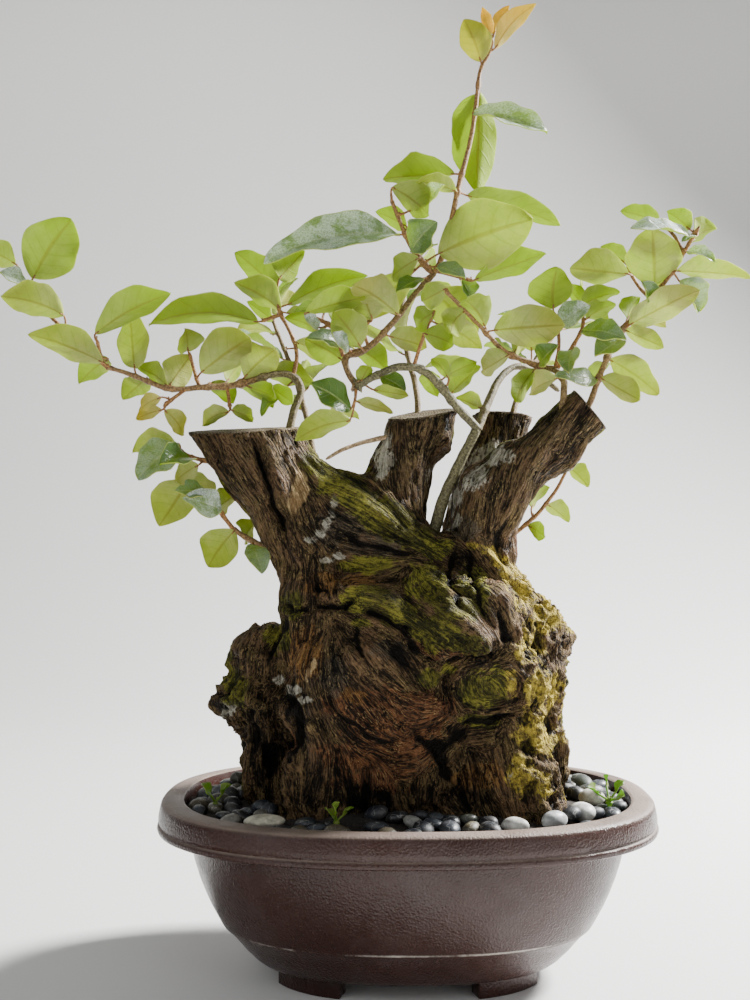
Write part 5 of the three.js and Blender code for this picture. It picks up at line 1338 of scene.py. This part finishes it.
def along_path(x, z, path):
    """How far each point is from a path, and the share of the path's length before it."""
    nearest, before = np.full(len(x), 1e9), np.zeros(len(x))
    lengths = [math.dist(*ends) for ends in zip(path, path[1:])]
    for index, ((x0, z0), (x1, z1)) in enumerate(zip(path, path[1:])):
        run = np.array([x1 - x0, z1 - z0], float)
        share = np.clip(((x - x0) * run[0] + (z - z0) * run[1]) / (run @ run), 0, 1)
        distance = np.hypot(x - x0 - share * run[0], z - z0 - share * run[1])
        reach = (sum(lengths[:index]) + share * lengths[index]) / sum(lengths)
        before = np.where(distance < nearest, reach, before)
        nearest = np.minimum(nearest, distance)
    return nearest, before


def flow_at(x, z):
    """The way the guides run near each point, and how near they are. Opposite ways count as one."""
    twice, total = np.zeros((len(x), 2)), np.zeros(len(x))
    for path in FLOWS:
        for start, end in zip(path, path[1:]):
            distance, _ = along_path(x, z, (start, end))
            weight = np.exp(-((distance / FLOW_REACH) ** 2) * 4)
            angle = 2 * math.atan2(end[1] - start[1], end[0] - start[0])
            twice += weight[:, None] * (math.cos(angle), math.sin(angle))
            total += weight
    angle = np.arctan2(twice[:, 1], twice[:, 0]) / 2
    return np.stack([np.cos(angle), np.zeros(len(x)), np.sin(angle)], axis=1), total


def patch_mask(x, z, patches, ragged):
    mask = np.zeros(len(x))
    for middle_x, middle_z, half_x, half_z in patches:
        reach = np.hypot((x - middle_x) / half_x, (z - middle_z) / half_z) + 0.3 * ragged
        mask = np.maximum(mask, 1 - smoothstep(0.35, 1.35, reach))
    return mask


def bark_relief(points, normals, grain):
    """How far the bark stands out in millimetres, what covers it, and where shade and sunlight are painted
    on it.
    """
    x, z = as_seen(points)
    toward = EYE - points
    toward /= np.linalg.norm(toward, axis=1, keepdims=True)
    front = smoothstep(0.02, 0.3, (normals * toward).sum(axis=1))
    back = 1 - smoothstep(-0.25, 0.1, (normals * toward).sum(axis=1))
    height = points[:, 2]
    upper = smoothstep(285, 330, height)

    ragged = lumps(points, 7, 21) + 0.6 * lumps(points, 3, 22)
    right_crags = smoothstep(56, 82, points[:, 0]) * (1 - smoothstep(262, 292, height))
    left_crags = smoothstep(64, 84, -points[:, 0]) * (1 - smoothstep(205, 232, height))
    back_crags = back * smoothstep(0.0, 0.5, lumps(points, 45, 23)) * (1 - upper)
    crags = np.maximum(np.maximum(right_crags, 0.75 * left_crags), 0.7 * back_crags)

    coarse = 1.7 * lumps(points, 20, 1) * (1 - 0.6 * upper)
    cords = streaks(points, grain, *CORD_GRAIN, seed=5)
    strands = streaks(points, grain, *STRAND_GRAIN, seed=6)
    ropes = 2.8 * cords * (1 - 0.45 * upper)
    broken = crags * (2.6 * ridges(points, 8.5, 8) + 1.5 * ridges(points, 4, 9) - 1.0)
    threads = streaks(points, grain, *THREAD_GRAIN, seed=7)
    fine = (1.6 * strands + 0.7 * threads) * (1 - 0.35 * crags) + broken
    grooves = 1 - smoothstep(0, 0.16, np.abs(cords + 0.25 * strands))
    grooves = grooves * smoothstep(-0.3, 0.3, lumps(points, 16, 12)) * (1 - crags)

    # Painted shade: crevice says where the colour goes near black, in deep grooves, creases, round the scar
    # and in the recesses
    crevice = 0.7 * smoothstep(0.5, 2.4, -fine) + 0.4 * smoothstep(0.8, 3.0, -ropes) + 0.6 * grooves
    relief = coarse + ropes + fine - 1.5 * grooves
    wander = 2.2 * lumps(points, 11, 31) + 0.7 * lumps(points, 4, 32)
    for path, depth, width in CREASES:
        distance, share = along_path(x + wander, z + wander, path)
        taper = smoothstep(-0.04, 0.2, share) * smoothstep(1.04, 0.8, share)
        uneven = taper * (0.8 + 0.3 * lumps(points, 8, 33))
        relief -= 1.35 * depth * front * uneven * np.exp(-((distance / width) ** 2))
        relief += 0.3 * depth * front * uneven * np.exp(-(((distance - 2.2 * width) / width) ** 2))
        crevice = np.maximum(crevice, 1.6 * front * uneven * np.exp(-((distance / (0.8 * width)) ** 2)))
    for path, rise, width in STRANDS:
        distance, _ = along_path(x, z, path)
        near = front * np.exp(-((distance / width) ** 2))
        relief += rise * near
        crevice *= 1 - 0.5 * near
    scar = np.hypot((x - SCAR[0]) / SCAR[2], (z - SCAR[1]) / SCAR[3])
    lip = front * np.exp(-(((scar - 1.12) / 0.13) ** 2))
    inside_scar = front * (1 - smoothstep(0.85, 1.0, scar))
    relief = relief * (1 - 0.75 * inside_scar) + 2.6 * lip
    crevice = np.maximum(crevice * (1 - inside_scar), 0.8 * front * np.exp(-(((scar - 0.98) / 0.05) ** 2)))

    sawn = np.zeros(len(points))
    for cut in SAW_CUTS:
        on_cut = smoothstep(-1.3, -0.2, cut_distance(points, cut)) * (cut_height(points, cut) < 2)
        sawn = np.maximum(sawn, on_cut)
    relief *= 1 - 0.92 * sawn
    crevice *= 1 - sawn

    upward = smoothstep(0.15, 0.75, normals[:, 2])
    patches, clumps = lumps(points, 26, 41), lumps(points, 13, 45)
    side = 1 - front
    # What covers the sides and the back, besides what the photo shows
    elsewhere = {
        "moss": side * smoothstep(0.15, 0.6, patches + 0.5 * upward - 0.3 * upper),
        "lichen_and_sunlight": 0.9 * right_crags * side * smoothstep(-0.35, 0.3, clumps),
        "pale": side * upper * smoothstep(0.3, 0.7, lumps(points, 16, 44)),
        "red": side * smoothstep(0.2, 0.7, -patches),
        "grey": 0.3 * upper * (1 - sawn),
    }
    masks = {
        name: np.maximum(front * patch_mask(x, z, places, ragged), elsewhere.get(name, 0))
        for name, places in BARK_PATCHES.items()
    }
    masks["sawn"] = sawn
    masks["strand"] = 0.5 + 0.5 * np.tanh(1.3 * cords + 1.3 * strands + 0.8 * threads)
    # Painted shade: the dark recesses join the crevices
    masks["crevice"] = np.clip(crevice + 0.5 * masks.pop("dark"), 0, 1.2)
    return relief, masks


def triangle_count(piece):
    return sum(len(face.vertices) - 2 for face in piece.data.polygons)


def make_stump(settings):
    stump = stump_blank()
    move_points(stump, drawn_to_wood(points_of(stump), 4, 3.0))
    with_modifier(stump, "REMESH", mode="VOXEL", voxel_size=settings.fineness / MM)
    move_points(stump, drawn_to_wood(points_of(stump), 3, 0.8))
    points, normals = points_of(stump), normals_of(stump)
    grain = grain_of(points, normals)
    relief, masks = bark_relief(points, normals, grain)
    relief = np.where(points[:, 2] < TRUNK_FOOT + 0.5, 0, relief * settings.relief)
    move_points(stump, points + normals * relief[:, None])
    for name, values in masks.items():
        set_values(stump, name, values)
    grain_attribute = stump.data.attributes.new("grain", "FLOAT_VECTOR", "POINT")
    grain_attribute.data.foreach_set("vector", grain.ravel())
    with_modifier(stump, "DECIMATE", ratio=min(1, STUMP_TRIANGLES / triangle_count(stump)))
    smooth(stump)
    settled(stump, "bark", ["trunk"], old_bark(settings))


# Branches and leaves
def softened(points, radii, rounds=2):
    """A route with its corners rounded off, and its radii to match."""
    rows = np.column_stack([points, radii])
    for _ in range(rounds):
        near, far = rows[:-1] * 0.75 + rows[1:] * 0.25, rows[:-1] * 0.25 + rows[1:] * 0.75
        rows = np.vstack([rows[:1], np.stack([near, far], axis=1).reshape(-1, 4), rows[-1:]])
    return rows[:, :3], rows[:, 3]


def tubes(routes, roundness=2):
    """Round stems along routes of (points, radii), as one mesh."""
    curve = bpy.data.curves.new("stem", "CURVE")
    curve.dimensions = "3D"
    curve.bevel_depth = 1
    curve.bevel_resolution = roundness
    curve.use_fill_caps = True
    for points, radii in routes:
        spline = curve.splines.new("POLY")
        spline.points.add(len(points) - 1)
        for place, point, radius in zip(spline.points, points, radii):
            place.co = (*point, 1)
            place.radius = radius
    piece = bpy.data.objects.new("stem", curve)
    bpy.context.scene.collection.objects.link(piece)
    activate(piece)
    bpy.ops.object.convert(target="MESH")
    return bpy.context.object


def root_for(routes, base, tip):
    """The point inside a twig that a leaf's stalk grows from."""
    behind = base - 5 * (tip - base) / np.linalg.norm(tip - base)
    margin = 1.6
    best, least = None, math.inf
    for _, points in routes:
        for start, end in zip(points, points[1:]):
            run = end - start
            length = np.linalg.norm(run)
            along = np.clip((behind - start) @ run / length, margin, length - margin)
            place = start + run * along / length
            distance = np.linalg.norm(place - behind)
            if distance < least:
                best, least = place, distance
    return best


def leaf_frame(base, tip, turn):
    """Unit vectors along a leaf, out of its upper face, and to its side."""
    along = unit(tip - base)
    front = np.array([0.0, -1.0, 0.0])
    front -= along * (front @ along)
    if np.linalg.norm(front) < 0.2:
        front = np.array([0.0, 0.0, 1.0]) - along * along[2]
    front /= np.linalg.norm(front)
    rise = np.cross(along, front)
    if rise[2] + 0.001 * rise[0] < 0:
        rise = -rise
    angle = math.radians(turn)
    normal = front * math.sin(angle) + rise * math.cos(angle)
    return along, normal, np.cross(normal, along)


def oblong_half(share):
    return 0.5 * np.maximum(np.sin(np.pi * share ** 0.92), 0) ** 0.7


def round_half(share):
    return 0.52 * np.maximum(np.sin(np.pi * share ** 1.25), 0) ** 0.6


def leaf_master():
    """A flat blade from -1 to 1 across and from 0 to 1 along, with its own map."""
    deselect()
    bpy.ops.mesh.primitive_grid_add(x_subdivisions=8, y_subdivisions=18, size=2)
    return named("leaf_master")


def shaped_leaf(master, flat, leaf, phase, half_of, age, chance):
    """A copy of the flat blade, bent to its place: arched, folded, waved and curled."""
    base, tip, width, turn = leaf
    _, normal, side = leaf_frame(base, tip, turn)
    length = np.linalg.norm(tip - base)
    across, even = -flat[:, 0], (flat[:, 1] + 1) / 2
    share = 0.25 * even + 0.75 * (1 - np.cos(np.pi * even)) / 2
    across = np.sign(across) * np.abs(across) ** 0.85
    edge = np.sign(across)
    ripples = chance.uniform(2.0, 3.0)
    uneven = 0.022 * np.sin(2 * np.pi * ripples * share + phase + edge) \
        + 0.05 * np.sin(2 * np.pi * share + 2 * phase * edge)
    half = np.maximum(width * half_of(share), 0.45 * (share < 0.98)) * (1 + uneven)
    rise = length * LEAF_ARCH * 4 * share * (1 - share)
    fold = np.abs(across) ** 1.25 * half * 2 * LEAF_FOLD * chance.uniform(0.6, 1.9)
    curl = chance.uniform(-0.16, 0.12) * np.abs(across) ** 3 * half
    wave = LEAF_WAVE * width * across ** 2 * np.sin(9 * share + phase + edge * 1.2)
    ripple = 0.055 * width * np.abs(across) ** 3 * np.sin(2 * np.pi * ripples * share + phase + 2 * edge)
    ripple = ripple * np.sin(np.pi * share)
    nod = chance.uniform(-0.09, 0.03) * length * share ** 3
    quilt = 0.008 * width * np.sin(50 * (share - 0.08 * np.abs(across))) * (1 - np.abs(across))
    groove = -0.02 * width * np.exp(-((across / 0.14) ** 2)) * np.sin(np.pi * share)
    twist = chance.uniform(-0.3, 0.3) * (share - 0.35) * across * half
    sweep = chance.uniform(-0.05, 0.05) * length * np.sin(np.pi * share)
    lift = rise + fold + curl + wave + ripple + nod + quilt + groove + twist
    place = base + share[:, None] * (tip - base)
    place = place + (across * half + sweep)[:, None] * side + lift[:, None] * normal
    blade = copied(master)
    move_points(blade, place)
    set_values(blade, "age", age)
    set_values(blade, "tint", 0.1 + 0.6 * chance.random())
    set_values(blade, "scales_and_sheen", 0.75 * chance.random())
    return blade


def stalk_route(root, base, tip):
    along = unit(tip - base)
    points = np.array([root, root * 0.5 + (base - 2.5 * along) * 0.5, base - 0.5 * along, base + 3 * along])
    return softened(points, np.array([1.05, 0.75, 0.7, 0.45]), 1)


# Leaves that are still young, by their place in the branch's list
YOUNG = {"fork_branch": {0: 1.0, 1: 1.0, 2: 0.85, 3: 0.35}, "left_branch": {18: 0.55, 19: 0.6, 20: 0.25}}
# Leaves whose silver scales get the strongest painted sheen of sunlight
SILVERY = {"fork_branch": (6, 9, 12, 25, 28), "left_branch": (2,), "left_low_shoot": (0,),
           "right_shoot": (1, 5), "inner_branch": (5,)}
# How the undersides look, from yellow-green at 0 through cream to olive at 1: the yellow-green is painted
# sunlight shining through the blade, the olive painted shade
UNDERSIDES = {
    "fork_branch": {
        0.02: (4, 5, 7, 20), 0.18: (10, 15, 16, 26, 32, 33, 34, 41, 42, 46, 50),
        0.32: (3, 11, 13, 19, 23, 24, 29, 39), 0.5: (8, 18, 47), 0.74: (17, 21, 22, 36, 37, 38, 48)},
    "left_branch": {
        0.08: (12, 15, 17, 27, 31), 0.22: (0, 5, 14, 24, 28, 32, 33), 0.38: (1, 7, 16, 25, 26),
        0.52: (3, 4, 6, 19), 0.68: (8, 11, 29), 0.92: (9, 10)},
    "left_twig": {0.55: (0, 1, 3), 0.8: (2, 4)},
    "left_low_shoot": {0.5: (1,), 0.75: (3, 5)},
    "right_shoot": {
        0.12: (12, 17), 0.22: (2, 3), 0.38: (8, 20), 0.52: (0, 7, 19), 0.64: (6, 13, 16), 0.8: (10, 15, 18)},
    "inner_branch": {0.06: (0,), 0.22: (3, 4, 6, 16), 0.34: (2, 8), 0.5: (13, 14), 0.72: (1, 9, 10)},
}


def make_branch(name, routes, leaves, materials, half_of=oblong_half, slot="foliage", oldest=3.2):
    """One branch: its stems as one piece and its leaves as another."""
    twig, upper, under = materials
    chance = random.Random(name)
    roots = [root_for(routes, base, tip) for base, tip, _, _ in leaves]
    stems = []
    for girth, points in routes:
        radii = np.linspace(*girth, len(points))
        path, radii = softened(points, radii)
        path, radii = path_in_steps(path, radii, 2.2)
        path[1:-1] += 0.25 * np.stack([lumps(path[1:-1], 6, seed) for seed in (1, 2, 3)], axis=1)
        for root in roots:
            near = np.linalg.norm(path - root, axis=1)
            radii = radii * (1 + 0.3 * np.exp(-((near / 1.8) ** 2)))
        radii = radii * (1 + 0.07 * lumps(path, 4, 9))
        radii[-1] *= 0.45
        stem = tubes([(path, radii)])
        set_values(stem, "age", float(np.clip((girth[0] - 1.6) / (oldest - 1.6), 0, 1)))
        stems.append(stem)
    if leaves:
        stalks = tubes([stalk_route(root, base, tip) for root, (base, tip, _, _) in zip(roots, leaves)], 1)
        set_values(stalks, "age", 0.0)
        stems.append(stalks)
    wood = joined([*stems, *axil_buds(roots, leaves, chance)], f"{name}_stems")
    smooth(wood, 60)
    settled(wood, slot, [name], twig)
    if not leaves:
        return

    master = leaf_master()
    flat = points_of(master)
    blades = []
    for index, leaf in enumerate(leaves):
        age = YOUNG.get(name, {}).get(index, 0.0)
        blade = shaped_leaf(master, flat, leaf, index * 2.1, half_of, age, chance)
        if index in SILVERY.get(name, ()):
            set_values(blade, "scales_and_sheen", 1.6)
        for tint, places in UNDERSIDES.get(name, {}).items():
            if index in places:
                set_values(blade, "tint", tint)
        blades.append(blade)
    discard(master)
    foliage = joined(blades, f"{name}_leaves")
    foliage.data.materials.append(upper)
    foliage.data.materials.append(under)
    with_modifier(foliage, "SOLIDIFY", thickness=LEAF_THICKNESS, offset=0, material_offset=1,
                  material_offset_rim=1)
    smooth(foliage, 80)
    settled(foliage, slot, [name])


def path_in_steps(points, radii, step):
    """The same route with points about a step apart."""
    gaps = np.linalg.norm(np.diff(points, axis=0), axis=1)
    reach = np.concatenate([[0], np.cumsum(gaps)])
    count = max(int(reach[-1] / step), 2)
    wanted = np.linspace(0, reach[-1], count + 1)
    rows = [np.interp(wanted, reach, column) for column in points.T]
    return np.stack(rows, axis=1), np.interp(wanted, reach, radii)


def axil_buds(roots, leaves, chance):
    """A small brown bud at the foot of most leaf stalks."""
    buds = []
    for root, (base, _, _, _) in zip(roots, leaves):
        if chance.random() < 0.3:
            continue
        toward = (base - root) / max(np.linalg.norm(base - root), 1e-6)
        deselect()
        bpy.ops.mesh.primitive_ico_sphere_add(subdivisions=1, radius=1)
        bud = bpy.context.object
        shape = points_of(bud) * (0.8, 0.8, 1.3)
        move_points(bud, shape + root + 1.6 * toward + (0, 0, 1.2))
        set_values(bud, "age", 0.25)
        buds.append(bud)
    return buds


def seen_branch(branch):
    routes = [(girth, np.array([seen(*place) for place in points])) for girth, points in branch["routes"]]
    leaves = [(seen(*row[0:3]), seen(*row[3:6]), row[6], row[7]) for row in branch["leaves"]]
    return routes, leaves


class SeededDraw:
    """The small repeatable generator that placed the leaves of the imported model."""

    def __init__(self, seed):
        self.state = seed

    @staticmethod
    def multiplied(one, other):
        return (one * other) & 0xFFFFFFFF

    def __call__(self):
        self.state = (self.state + 0x6D2B79F5) & 0xFFFFFFFF
        state = self.state
        bits = self.multiplied(state ^ (state >> 15), 1 | state)
        bits = ((bits + self.multiplied(bits ^ (bits >> 7), 61 | bits)) & 0xFFFFFFFF) ^ bits
        return (bits ^ (bits >> 14)) / 4294967296


def back_branch(seed, leaf_count, points):
    """Leaves by turns along a shoot, each a golden angle further round, drooping, facing up."""
    chance = SeededDraw(seed)
    route = np.array(points, float)
    curve = smooth_route(route)
    leaves = []
    for index in range(leaf_count):
        share = FIRST_SHARE + (LAST_SHARE - FIRST_SHARE) * index / (leaf_count - 1)
        start = curve(share)
        angle = index * GOLDEN_ANGLE + chance()
        spread = np.array([math.cos(angle), 0.35 + math.sin(angle), 0.1 + 0.5 * chance()])
        spread /= np.linalg.norm(spread)
        length = 34 + 16 * chance()
        base = start + spread * 7
        tip = base + spread * length
        tip[2] -= 5 * chance()
        leaves.append((base, tip, length * (0.46 + 0.08 * chance()), -20 + 40 * chance()))
    return [(BACK_SHOOT_GIRTH, route)], leaves


def smooth_route(points):
    """A smooth curve through points, read by its share of length."""
    before = 2 * points[0] - points[1]
    after = 2 * points[-1] - points[-2]
    padded = np.vstack([before, points, after])
    samples = []
    for index in range(len(points) - 1):
        p0, p1, p2, p3 = padded[index:index + 4]
        for t in np.linspace(0, 1, 24, endpoint=False):
            samples.append(0.5 * (2 * p1 + (p2 - p0) * t + (2 * p0 - 5 * p1 + 4 * p2 - p3) * t * t
                                  + (3 * p1 - p0 - 3 * p2 + p3) * t ** 3))
    samples = np.array([*samples, points[-1]])
    reach = np.concatenate([[0], np.cumsum(np.linalg.norm(np.diff(samples, axis=0), axis=1))])
    return lambda share: np.array([np.interp(share * reach[-1], reach, column) for column in samples.T])


def make_branches(settings):
    materials = twig_bark(), leaf_upper(settings), leaf_underside(settings)
    for name, branch in BRANCHES.items():
        routes, leaves = seen_branch(branch)
        if leaves:
            make_branch(name, routes, leaves, materials)
        else:
            make_branch(name, routes, leaves, (dead_wood(), None, None), slot="bark")
    for name, shoot in BACK_SHOOTS.items():
        make_branch(name, *back_branch(*shoot), materials)


def weed_parts(at, seed, leaf_count, size, height):
    chance = SeededDraw(seed)
    x, y = at
    crown = float(mound_height(x, y)) + height * 0.6
    route = np.array([[x, y, SOIL_TOP + CLEARANCE], [x, y, (SOIL_TOP + crown) / 2], [x, y, crown]])
    leaves = []
    for index in range(leaf_count):
        angle = 2 * math.pi * index / leaf_count + 0.6 * chance()
        out = np.array([math.cos(angle), math.sin(angle), 0.35 + 0.9 * chance()])
        out /= np.linalg.norm(out)
        base = np.array([x, y, crown - 1]) + out * height * (0.4 + 0.5 * chance())
        leaves.append((base, base + out * size, size * 0.95, 20 * chance()))
    return [((WEED_STEM, WEED_STEM * 0.7), route)], leaves


def make_weeds(settings):
    leaflet = weed_leaf(settings)
    for name, weed in WEEDS.items():
        routes, leaves = weed_parts(*weed)
        make_branch(name, routes, leaves, (leaflet,) * 3, half_of=round_half, slot="weed", oldest=9)


# The stage
def make_stage(settings):
    deselect()
    bpy.ops.mesh.primitive_plane_add(size=FLOOR_SIZE, location=(0, 0, 0))
    floor = named("studio_sweep")
    bpy.ops.object.mode_set(mode="EDIT")
    bpy.ops.mesh.select_all(action="DESELECT")
    bpy.ops.object.mode_set(mode="OBJECT")
    for edge in floor.data.edges:
        ends = [floor.data.vertices[index].co for index in edge.vertices]
        edge.select = all(end.y > FLOOR_SIZE / 2 - 1 for end in ends)
    bpy.ops.object.mode_set(mode="EDIT")
    bpy.ops.mesh.select_mode(type="EDGE")
    bpy.ops.mesh.extrude_edges_move(TRANSFORM_OT_translate={"value": (0, 0, FLOOR_BACK)})
    bpy.ops.object.mode_set(mode="OBJECT")
    with_modifier(floor, "BEVEL", width=FLOOR_BEND, segments=16, limit_method="ANGLE")
    smooth(floor)
    points = points_of(floor)
    points[:, 1] -= FLOOR_SHIFT
    move_points(floor, points)
    paint = Paint("Studio floor", Base_Color=coloured(settings.floor), Roughness=0.8)
    floor.data.materials.append(paint.material)

    for name, place, size, power in (
        ("sun_side", (1.35, 0.6, 1.35), 0.4, settings.key_light),
        ("window", (-1.3, -1.5, 1.1), 1.6, settings.fill_light),
        ("front", (1.2, -1.6, 0.7), 1.2, settings.fill_light * 0.75),
    ):
        bpy.ops.object.light_add(type="AREA", location=place)
        light = bpy.context.object
        light.name = name
        light.data.size = size
        light.data.energy = power
        light.rotation_euler = (Vector(place) - LIGHTS_AIM).to_track_quat("Z", "Y").to_euler()

    world = bpy.context.scene.world or bpy.data.worlds.new("World")
    bpy.context.scene.world = world
    world.use_nodes = True
    background = world.node_tree.nodes["Background"]
    background.inputs["Color"].default_value = coloured((0.9, 0.95, 1.0))
    background.inputs["Strength"].default_value = settings.sky_light

    bpy.ops.object.camera_add(location=EYE * MM + MIDDLE, rotation=(math.radians(90), 0, 0))
    camera = bpy.context.object
    camera.data.lens = LENS_MM
    bpy.context.scene.camera = camera


# What a user would change
def colour_property(name, description, default):
    return FloatVectorProperty(name=name, description=description, default=default,
                               subtype="COLOR", size=3, min=0, max=1)


class PotSettings(bpy.types.PropertyGroup):
    plastic: colour_property("Plastic", "Colour of the pot", (0.027, 0.0095, 0.0064))
    dust: colour_property("Dust", "Colour of the dust on the rim", (0.25, 0.19, 0.155))


class GroundSettings(bpy.types.PropertyGroup):
    soil: colour_property("Soil", "Colour of the potting soil", (0.045, 0.034, 0.025))
    count: IntProperty(name="Pebbles", description="Stones in the lower layer", default=300, min=10)
    seed: IntProperty(name="Seed", description="Draw of the stones' places", default=4)
    smallest: FloatProperty(name="Smallest", description="Smallest pebble, in millimetres", default=11)
    largest: FloatProperty(name="Largest", description="Largest pebble, in millimetres", default=18)


class StumpSettings(bpy.types.PropertyGroup):
    fineness: FloatProperty(name="Fineness", description="Size of the stump's faces", default=0.0015,
                            unit="LENGTH")
    relief: FloatProperty(name="Relief", description="Strength of the bark's relief", default=1.0,
                          subtype="FACTOR", min=0, max=2)
    bark: colour_property("Bark", "Colour of the bark's crests", (0.225, 0.132, 0.066))
    moss: colour_property("Moss", "Colour of the moss in light", (0.33, 0.31, 0.04))
    moss_shade: colour_property("Moss shade", "Colour between its tufts", (0.035, 0.037, 0.009))
    # The lichen's colour is also that of the painted sunlight on the scar's right side
    lichen_and_sunlight: colour_property("Lichen", "Colour of the yellow lichen", (0.68, 0.52, 0.08))


class LeafSettings(bpy.types.PropertyGroup):
    upper: colour_property("Upper face", "Colour of the darkest upper faces", (0.014, 0.055, 0.014))
    # The yellowest underside is painted sunlight shining through the blade
    underside: colour_property("Underside", "Colour of the yellowest undersides", (0.42, 0.58, 0.02))
    glow: colour_property("Glow", "Colour of light through a blade", (0.78, 1.0, 0.05))
    weed: colour_property("Weeds", "Colour of the weeds' leaflets", (0.13, 0.2, 0.025))


class StageSettings(bpy.types.PropertyGroup):
    floor: colour_property("Floor", "Colour of the floor", (0.76, 0.75, 0.73))
    key_light: FloatProperty(name="Key light", description="Power of the main light", default=210,
                             unit="POWER")
    fill_light: FloatProperty(name="Fill light", description="Power of the fill light", default=9,
                              unit="POWER")
    sky_light: FloatProperty(name="Sky", description="Strength of the light all round", default=0.3)


class BONSAI_OT_stage(bpy.types.Operator):
    """Adds the floor, the lights and the camera"""
    bl_idname = "bonsai.stage"
    bl_label = "Stage"

    def execute(self, context):
        make_stage(context.scene.bonsai_stage)
        return {"FINISHED"}


class BONSAI_OT_pot(bpy.types.Operator):
    """Builds the oval plastic pot"""
    bl_idname = "bonsai.pot"
    bl_label = "Pot"

    def execute(self, context):
        make_pot(context.scene.bonsai_pot)
        return {"FINISHED"}


class BONSAI_OT_soil(bpy.types.Operator):
    """Fills the pot with soil"""
    bl_idname = "bonsai.soil"
    bl_label = "Soil"

    def execute(self, context):
        make_soil(context.scene.bonsai_ground)
        return {"FINISHED"}


class BONSAI_OT_pebbles(bpy.types.Operator):
    """Lays the river pebbles"""
    bl_idname = "bonsai.pebbles"
    bl_label = "Pebbles"

    def execute(self, context):
        make_pebbles(context.scene.bonsai_ground)
        return {"FINISHED"}


class BONSAI_OT_stump(bpy.types.Operator):
    """Carves the gnarled stump"""
    bl_idname = "bonsai.stump"
    bl_label = "Stump"

    def execute(self, context):
        make_stump(context.scene.bonsai_stump)
        return {"FINISHED"}


class BONSAI_OT_branches(bpy.types.Operator):
    """Grows the twigs and their leaves"""
    bl_idname = "bonsai.branches"
    bl_label = "Branches"

    def execute(self, context):
        make_branches(context.scene.bonsai_leaf)
        return {"FINISHED"}


class BONSAI_OT_weeds(bpy.types.Operator):
    """Grows the weeds between the pebbles"""
    bl_idname = "bonsai.weeds"
    bl_label = "Weeds"

    def execute(self, context):
        make_weeds(context.scene.bonsai_leaf)
        return {"FINISHED"}


OPERATORS = (
    BONSAI_OT_stage, BONSAI_OT_pot, BONSAI_OT_soil, BONSAI_OT_pebbles, BONSAI_OT_stump,
    BONSAI_OT_branches, BONSAI_OT_weeds,
)
SETTINGS = {
    "bonsai_pot": PotSettings, "bonsai_ground": GroundSettings, "bonsai_stump": StumpSettings,
    "bonsai_leaf": LeafSettings, "bonsai_stage": StageSettings,
}


class BONSAI_PT_panel(bpy.types.Panel):
    """The bonsai's settings and its pieces"""
    bl_label = "Bonsai"
    bl_idname = "BONSAI_PT_panel"
    bl_space_type = "VIEW_3D"
    bl_region_type = "UI"
    bl_category = "Bonsai"

    def draw(self, context):
        for name, group in SETTINGS.items():
            for setting in group.__annotations__:
                self.layout.prop(getattr(context.scene, name), setting)
        for operator in OPERATORS:
            self.layout.operator(operator.bl_idname)


def register():
    for group in SETTINGS.values():
        bpy.utils.register_class(group)
    for operator in OPERATORS:
        bpy.utils.register_class(operator)
    bpy.utils.register_class(BONSAI_PT_panel)
    for name, group in SETTINGS.items():
        setattr(bpy.types.Scene, name, PointerProperty(type=group))


def unregister():
    for name in SETTINGS:
        delattr(bpy.types.Scene, name)
    for shown in (BONSAI_PT_panel, *OPERATORS, *SETTINGS.values()):
        bpy.utils.unregister_class(shown)


def main():
    register()
    deselect()
    bpy.ops.bonsai.stage()
    bpy.ops.bonsai.pot()
    bpy.ops.bonsai.soil()
    bpy.ops.bonsai.pebbles()
    bpy.ops.bonsai.stump()
    bpy.ops.bonsai.branches()
    bpy.ops.bonsai.weeds()


if __name__ == "__main__":
    main()
